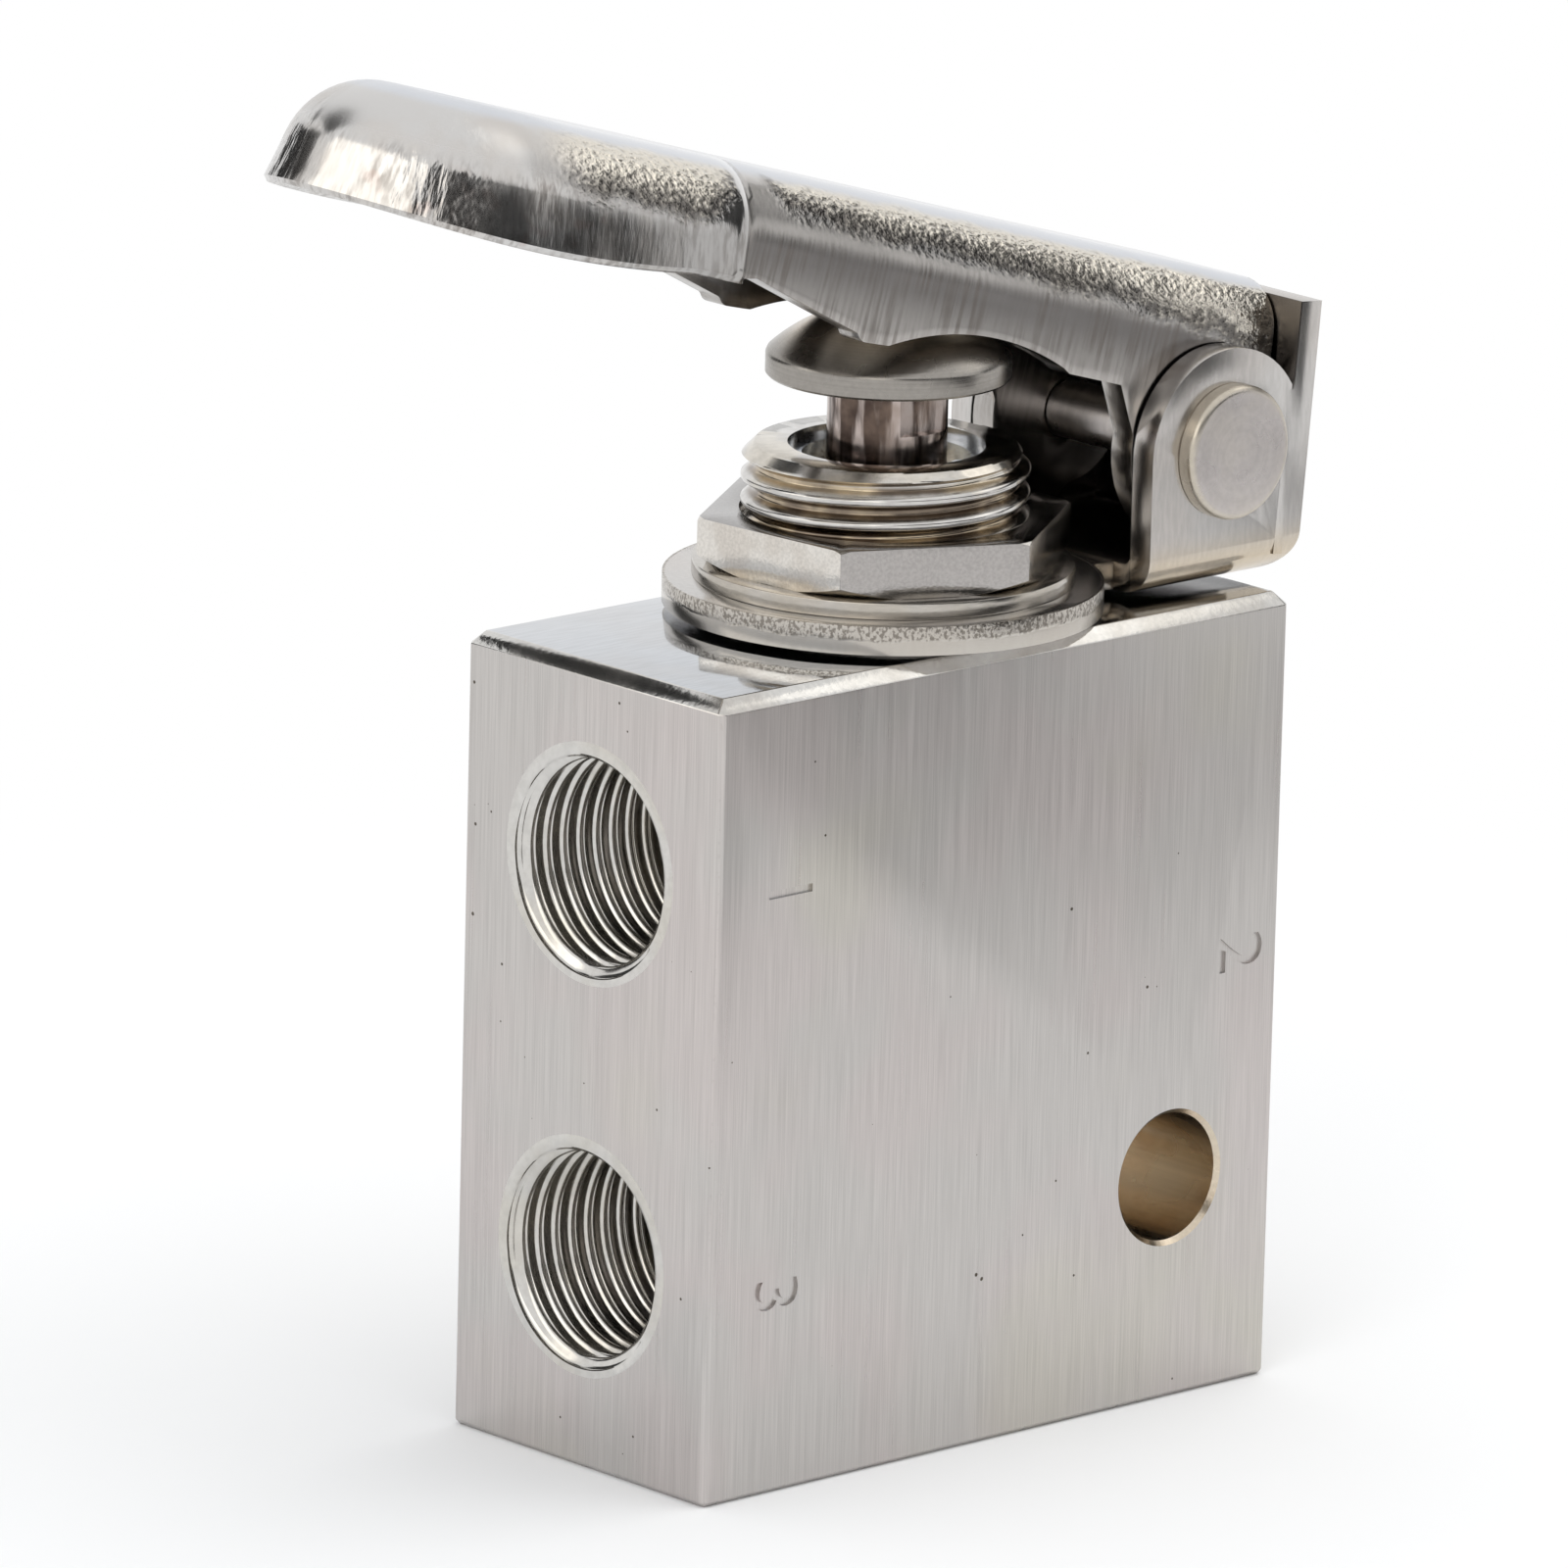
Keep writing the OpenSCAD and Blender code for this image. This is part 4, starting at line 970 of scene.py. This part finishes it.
def section(foot, along_top, share):
    """Half the lever's section from the wall's foot to the centre line, as (x, half width, z)."""
    foot_x, foot_z = foot
    half = narrow_half + (pad_half - narrow_half) * share
    tighter = min(max(foot_x - tighter_from, 0) / tighter_run, 1)
    bend_r = narrow_bend + (pad_bend - narrow_bend) * share - tighter
    lean = pad_lean * share
    lean_angle = math.atan(lean)
    widest = foot_z + pad_widest * share
    bend_z = lever_top - bend_r
    bend_y = half - (bend_z - widest) * lean - bend_r / math.cos(lean_angle)
    wall_top = bend_z + bend_r * math.sin(lean_angle)
    levels = [foot_z + (wall_top - foot_z) * i / 5 for i in range(6)]
    if share > 0.99:
        levels = [foot_z, (foot_z + widest) / 2, *(widest + (wall_top - widest) * i / 3 for i in range(4))]
    points = []
    for i, z in enumerate(levels):
        tuck = pad_tuck * max(widest - z, 0) * share
        x = foot_x + (along_top(wall_top) - foot_x) * i / 5
        points.append((x, half - tuck - lean * max(z - widest, 0), z))
    for i in range(1, 13):
        turn = lean_angle + (math.pi / 2 - lean_angle) * i / 12
        z = bend_z + bend_r * math.sin(turn)
        points.append((along_top(z), bend_y + bend_r * math.cos(turn), z))
    for i in (1, 2, 3):
        points.append((along_top(lever_top), bend_y * (1 - i / 3), lever_top))
    return points


sections = []
for start, stop, count in ((pad_end, -30, 24), (-30, shoulder_x, 10), (shoulder_x, root_x, 3),
                           (root_x, nose_start, 10), (nose_start, -20.1, 12), (-20.1, -8.8, 30),
                           (-8.8, lobe_start, 4)):
    for x in (start + (stop - start) * i / count for i in range(count)):
        points = section((x, wall_foot(x)), lambda z, x=x: x, pad_share(x))
        sections.append([(px, y * pad_swell(x), z) for px, y, z in points])
feet = [(lobe_start, arch_end_low), (-5.2, 0.95), (-4.75, 0.3)]
lobe_from, lobe_to, lobe_steps = 184, 360 + rear_turn, 30
for i in range(lobe_steps + 1):
    turn = lobe_from + (lobe_to - lobe_from) * i / lobe_steps
    share = min(max((turn - 270) / 20, 0), 1)
    radius = lobe_r + (rear_r - lobe_r) * share * share * (3 - 2 * share)
    feet.append((radius * math.cos(math.radians(turn)), radius * math.sin(math.radians(turn))))
for i, foot in enumerate(feet):
    share = i / (len(feet) - 1)
    sections.append(section(foot, lambda z, share=share: lobe_start + share * (rear_x(z) - lobe_start), 0))

rows = [[(x, -y, z) for x, y, z in points] for points in sections]
pad_section = section((pad_end, wall_foot(pad_end)), lambda z: pad_end, 1)
end_steps = 24
for i in range(1, end_steps + 1):
    turn = math.pi / 2 * i / end_steps
    row = []
    for _, y, z in pad_section:
        y *= pad_swell(pad_end)
        reach = pad_end - y * math.sin(turn)
        low_share = max(0, 1 - (z - pad_sag_top) / pad_sag_run)
        sag = (wall_foot(reach) - wall_foot(pad_end)) * low_share
        row.append((reach, -y * math.cos(turn), z + sag))
    rows.insert(0, row)
shell = bmesh.new()
made = [[shell.verts.new(point) for point in row] for row in rows]
for first, second in zip(made, made[1:]):
    for a, b, c, d in zip(first, second, second[1:], first[1:]):
        shell.faces.new((a, b, c, d))
bmesh.ops.mirror(shell, geom=shell.verts[:] + shell.edges[:] + shell.faces[:], axis="Y", merge_dist=0.002)
bmesh.ops.remove_doubles(shell, verts=shell.verts, dist=0.002)
bmesh.ops.dissolve_degenerate(shell, edges=shell.edges, dist=0.001)
bmesh.ops.recalc_face_normals(shell, faces=shell.faces)
if max(shell.faces, key=lambda face: face.calc_center_median().z).normal.z < 0:
    bmesh.ops.reverse_faces(shell, faces=shell.faces)
bmesh.ops.transform(shell, matrix=Matrix.Scale(mm, 4), verts=shell.verts)
lever_mesh = bpy.data.meshes.new("hand_lever_pressed")
shell.to_mesh(lever_mesh)
shell.free()
lever = mesh_object("hand_lever_pressed", lever_mesh)
wall = lever.modifiers.new("sheet", "SOLIDIFY")
wall.thickness = sheet_t * mm
wall.offset = -1
wall.use_even_offset = True
set_plain(lever)
reamer_half, reamer_r = 9 * mm, pin_hole_r * mm
bench_cut(lever, [mesh_object("pin_reamer", lathe("pin_reamer", [
    (0, -reamer_half), (reamer_r, -reamer_half), (reamer_r, reamer_half), (0, reamer_half)],
    placed=Matrix.Rotation(math.pi / 2, 4, "X")))])
round_edges(lever, 0.07 * mm, 48, 38)
lever.data.transform(lever_place)


def pressed_plate(name):
    """Bright nickel on pressed sheet: smooth back, streaked walls and pebbled skin round the bends, with
    painted shade and light.
    """
    material, tree = new_material(name)
    place = object_place(tree)
    local = node(tree, "ShaderNodeMapping", {
        "Vector": place, "Location": tuple(pivot), "Rotation": (0, lever_tilt, 0)},
        vector_type="TEXTURE").outputs[0]
    x, y, z = axes_of(tree, local)
    wander = product(tree, maths(tree, "SUBTRACT", noise(tree, local, 600, 3), 0.5), 1.1 * mm)
    across = total(tree, x, wander)
    on_pad = span(tree, x, -28 * mm, -29 * mm)
    at_shoulder = product(tree, span(tree, across, -24.8 * mm, -27.6 * mm),
                          span(tree, across, -32.5 * mm, -29.4 * mm))
    low = total(tree, z, wander, product(tree, on_pad, 0.75 * mm), product(tree, at_shoulder, -1.3 * mm),
                span(tree, x, -8 * mm, 3 * mm, 0.0, 0.8 * mm),
                span(tree, x, -22 * mm, -7 * mm, 0.0, 0.45 * mm))

    patch_top = span(tree, maths(tree, "MULTIPLY_ADD", wander, 0.4, z), 6.62 * mm, 6.9 * mm, 1.0, 0.0)
    pad_patch = product(tree, span(tree, across, -29.8 * mm, -30.2 * mm),
                        span(tree, across, -41.5 * mm, -38 * mm))
    patches = maths(tree, "MAXIMUM", span(tree, across, -27.5 * mm, -27 * mm), pad_patch)
    skin = product(tree, span(tree, low, 4.95 * mm, 5.75 * mm), patch_top, patches)
    slanted = stretched(tree, local, (0.8, 1, 1.1), turn=(0, 0.7, 0))
    cells = node(tree, "ShaderNodeTexVoronoi", {"Vector": slanted, "Scale": 4000},
                 feature="SMOOTH_F1").outputs[0]
    pebbles = maths(tree, "MULTIPLY_ADD", noise(tree, slanted, 4700, 3), 1.45, product(tree, cells, -1.0))

    streaks = noise(tree, local, 4200, 3, stretch=(1, 1, 0.05))
    waves = noise(tree, local, 260, stretch=(0.5, 1, 1))
    calm = maths(tree, "MULTIPLY_ADD", streaks, 0.12, product(tree, waves, 0.9))
    strips = noise(tree, local, 1900, 3, stretch=(1, 1, 0.03))
    off_middle = maths(tree, "ABSOLUTE", total(tree, y, 0.9 * mm))
    at_tip = product(tree, span(tree, x, -43 * mm, -45 * mm), span(tree, off_middle, 1.9 * mm, 2.7 * mm), 3.0)
    calm = maths(tree, "MULTIPLY_ADD", strips, at_tip, calm)
    height = maths(tree, "MULTIPLY_ADD", skin, pebbles, calm)

    cloud = noise(tree, place, 330, 3)
    bright = tinted(tree, span(tree, cloud, 0.4, 0.64), (0.62, 0.61, 0.6), (0.6, 0.575, 0.55))
    on_wall = product(tree, maths(tree, "SUBTRACT", 1.0, on_pad), span(tree, low, 5 * mm, 5.6 * mm, 1.0, 0.0))
    # Painted shade: the walls darken in bands by height.
    painted_wall_shade = tinted(tree, span(tree, z, 1.4 * mm, 4.2 * mm), (0.45, 0.43, 0.41), (0.2, 0.19, 0.185))
    painted_wall_shade = tinted(tree, span(tree, z, 4.2 * mm, 4.9 * mm), painted_wall_shade, (0.46, 0.44, 0.42))
    shade = tinted(tree, on_wall, bright, painted_wall_shade)
    rubbing_and_painted_shade = span(tree, noise(tree, local, 420, 3), 0.35, 0.65, 0.2, 1.3)
    worn = product(tree, span(tree, streaks, 0.35, 0.62, 0.5, 0.0), rubbing_and_painted_shade,
                   span(tree, z, 5.2 * mm, 4.4 * mm))
    shade = tinted(tree, worn, shade, (0.16, 0.14, 0.125))
    # Painted shade on the pad's wall towards its tip.
    painted_pad_shade = product(tree, span(tree, x, -41 * mm, -38.5 * mm, 0.0, 0.5), on_pad,
                  span(tree, low, 5.6 * mm, 4.6 * mm), span(tree, z, 1.9 * mm, 2.7 * mm))
    shade = tinted(tree, painted_pad_shade, shade, (0.2, 0.19, 0.18))
    # Painted reflection: a bluish white along the top.
    shade = tinted(tree, span(tree, z, 6.6 * mm, 6.95 * mm), shade, (0.63, 0.65, 0.69))
    # Painted shade along the crease at the pad's shoulder.
    painted_crease_shade = product(tree, span(tree, x, -28.75 * mm, -28.5 * mm),
                     span(tree, x, -28.2 * mm, -28.45 * mm), 0.4)
    shade = tinted(tree, painted_crease_shade, shade, (0.2, 0.18, 0.16))
    # The pebbles' own tone, with painted light: lighter towards the top of the skin and dark low down.
    pebble_height_and_painted_rise = maths(tree, "MULTIPLY_ADD", span(tree, low, 5.7 * mm, 6.8 * mm), 0.95, pebbles)
    pebbled = tinted(tree, span(tree, pebble_height_and_painted_rise, 0.1, 1.3), (0.08, 0.07, 0.06), (0.74, 0.69, 0.6))
    shade = tinted(tree, product(tree, skin, 0.85), shade, pebbled)
    rust = product(tree, span(tree, noise(tree, place, 800), 0.6, 0.72), span(tree, x, -36 * mm, -39 * mm),
                   span(tree, z, 4.8 * mm, 4 * mm, 0.0, 0.22))
    shade = tinted(tree, rust, shade, (0.4, 0.24, 0.2))
    dull_tip = product(tree, span(tree, z, 4.6 * mm, 5.6 * mm, 0.0, 0.2), span(tree, x, -38 * mm, -41 * mm))
    dull = total(tree, span(tree, cloud, 0.3, 0.7, 0.1, 0.17), product(tree, on_wall, 0.1), dull_tip)
    surface(tree, shade, dull, height, 0.035)
    return material


lever.data.materials.append(pressed_plate("pressed_nickel"))
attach(lever, "lever")
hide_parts("hand_lever")


# The button and its stem: turned steel with a warm tint. The button's dome is polished in
# rings and its rim is darker, and the stem has two flats under it for a spanner.
button_low, button_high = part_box("push_button")
button_r = button_high.x
rim_top = button_low.z + 0.97 * mm
dome_r = 7.4 * mm
dome_centre = button_high.z - dome_r
rim_corner = 0.1 * mm
dome_edge = math.degrees(math.asin((rim_top - dome_centre) / dome_r)) + 0.8
button_steel = satin_disc("button_steel", ((0.66, 0.58, 0.485), (0.7, 0.62, 0.52), (0.33, 0.31, 0.285)),
                          (0, 0, button_low.z), axis=2, rim=(3.2 * mm, 4.9 * mm), roughness=0.27)
button = mesh_object("push_button_turned", lathe("push_button_turned", [
    (0, button_low.z), (button_r - rim_corner, button_low.z), (button_r, button_low.z + rim_corner),
    (button_r, rim_top - rim_corner), (button_r - 0.03 * mm, rim_top - 0.02 * mm),
    *rounded(0, dome_centre, dome_r, dome_edge, 89.9, 26), (0, button_high.z)], steps=160), button_steel)
smooth_by_angle(button.data, 24)
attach(button, "plunger")
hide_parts("push_button")


def drawn_steel(name):
    """Bar steel with dark and bright streaks along it and a brown film between them."""
    material, tree = new_material(name)
    place = object_place(tree)
    streak = noise(tree, place, 1300, 4, stretch=(1, 1, 0.16))
    film = noise(tree, place, 700, 3)
    shade = tinted(tree, span(tree, streak, 0.43, 0.57), (0.07, 0.05, 0.042), (0.5, 0.43, 0.4))
    shade = tinted(tree, span(tree, film, 0.45, 0.7, 0.0, 0.5), shade, (0.26, 0.19, 0.15))
    surface(tree, shade, span(tree, film, 0.3, 0.7, 0.14, 0.26), streak, 0.02)
    return material


dress("plunger_stem", drawn_steel("stem_steel"))
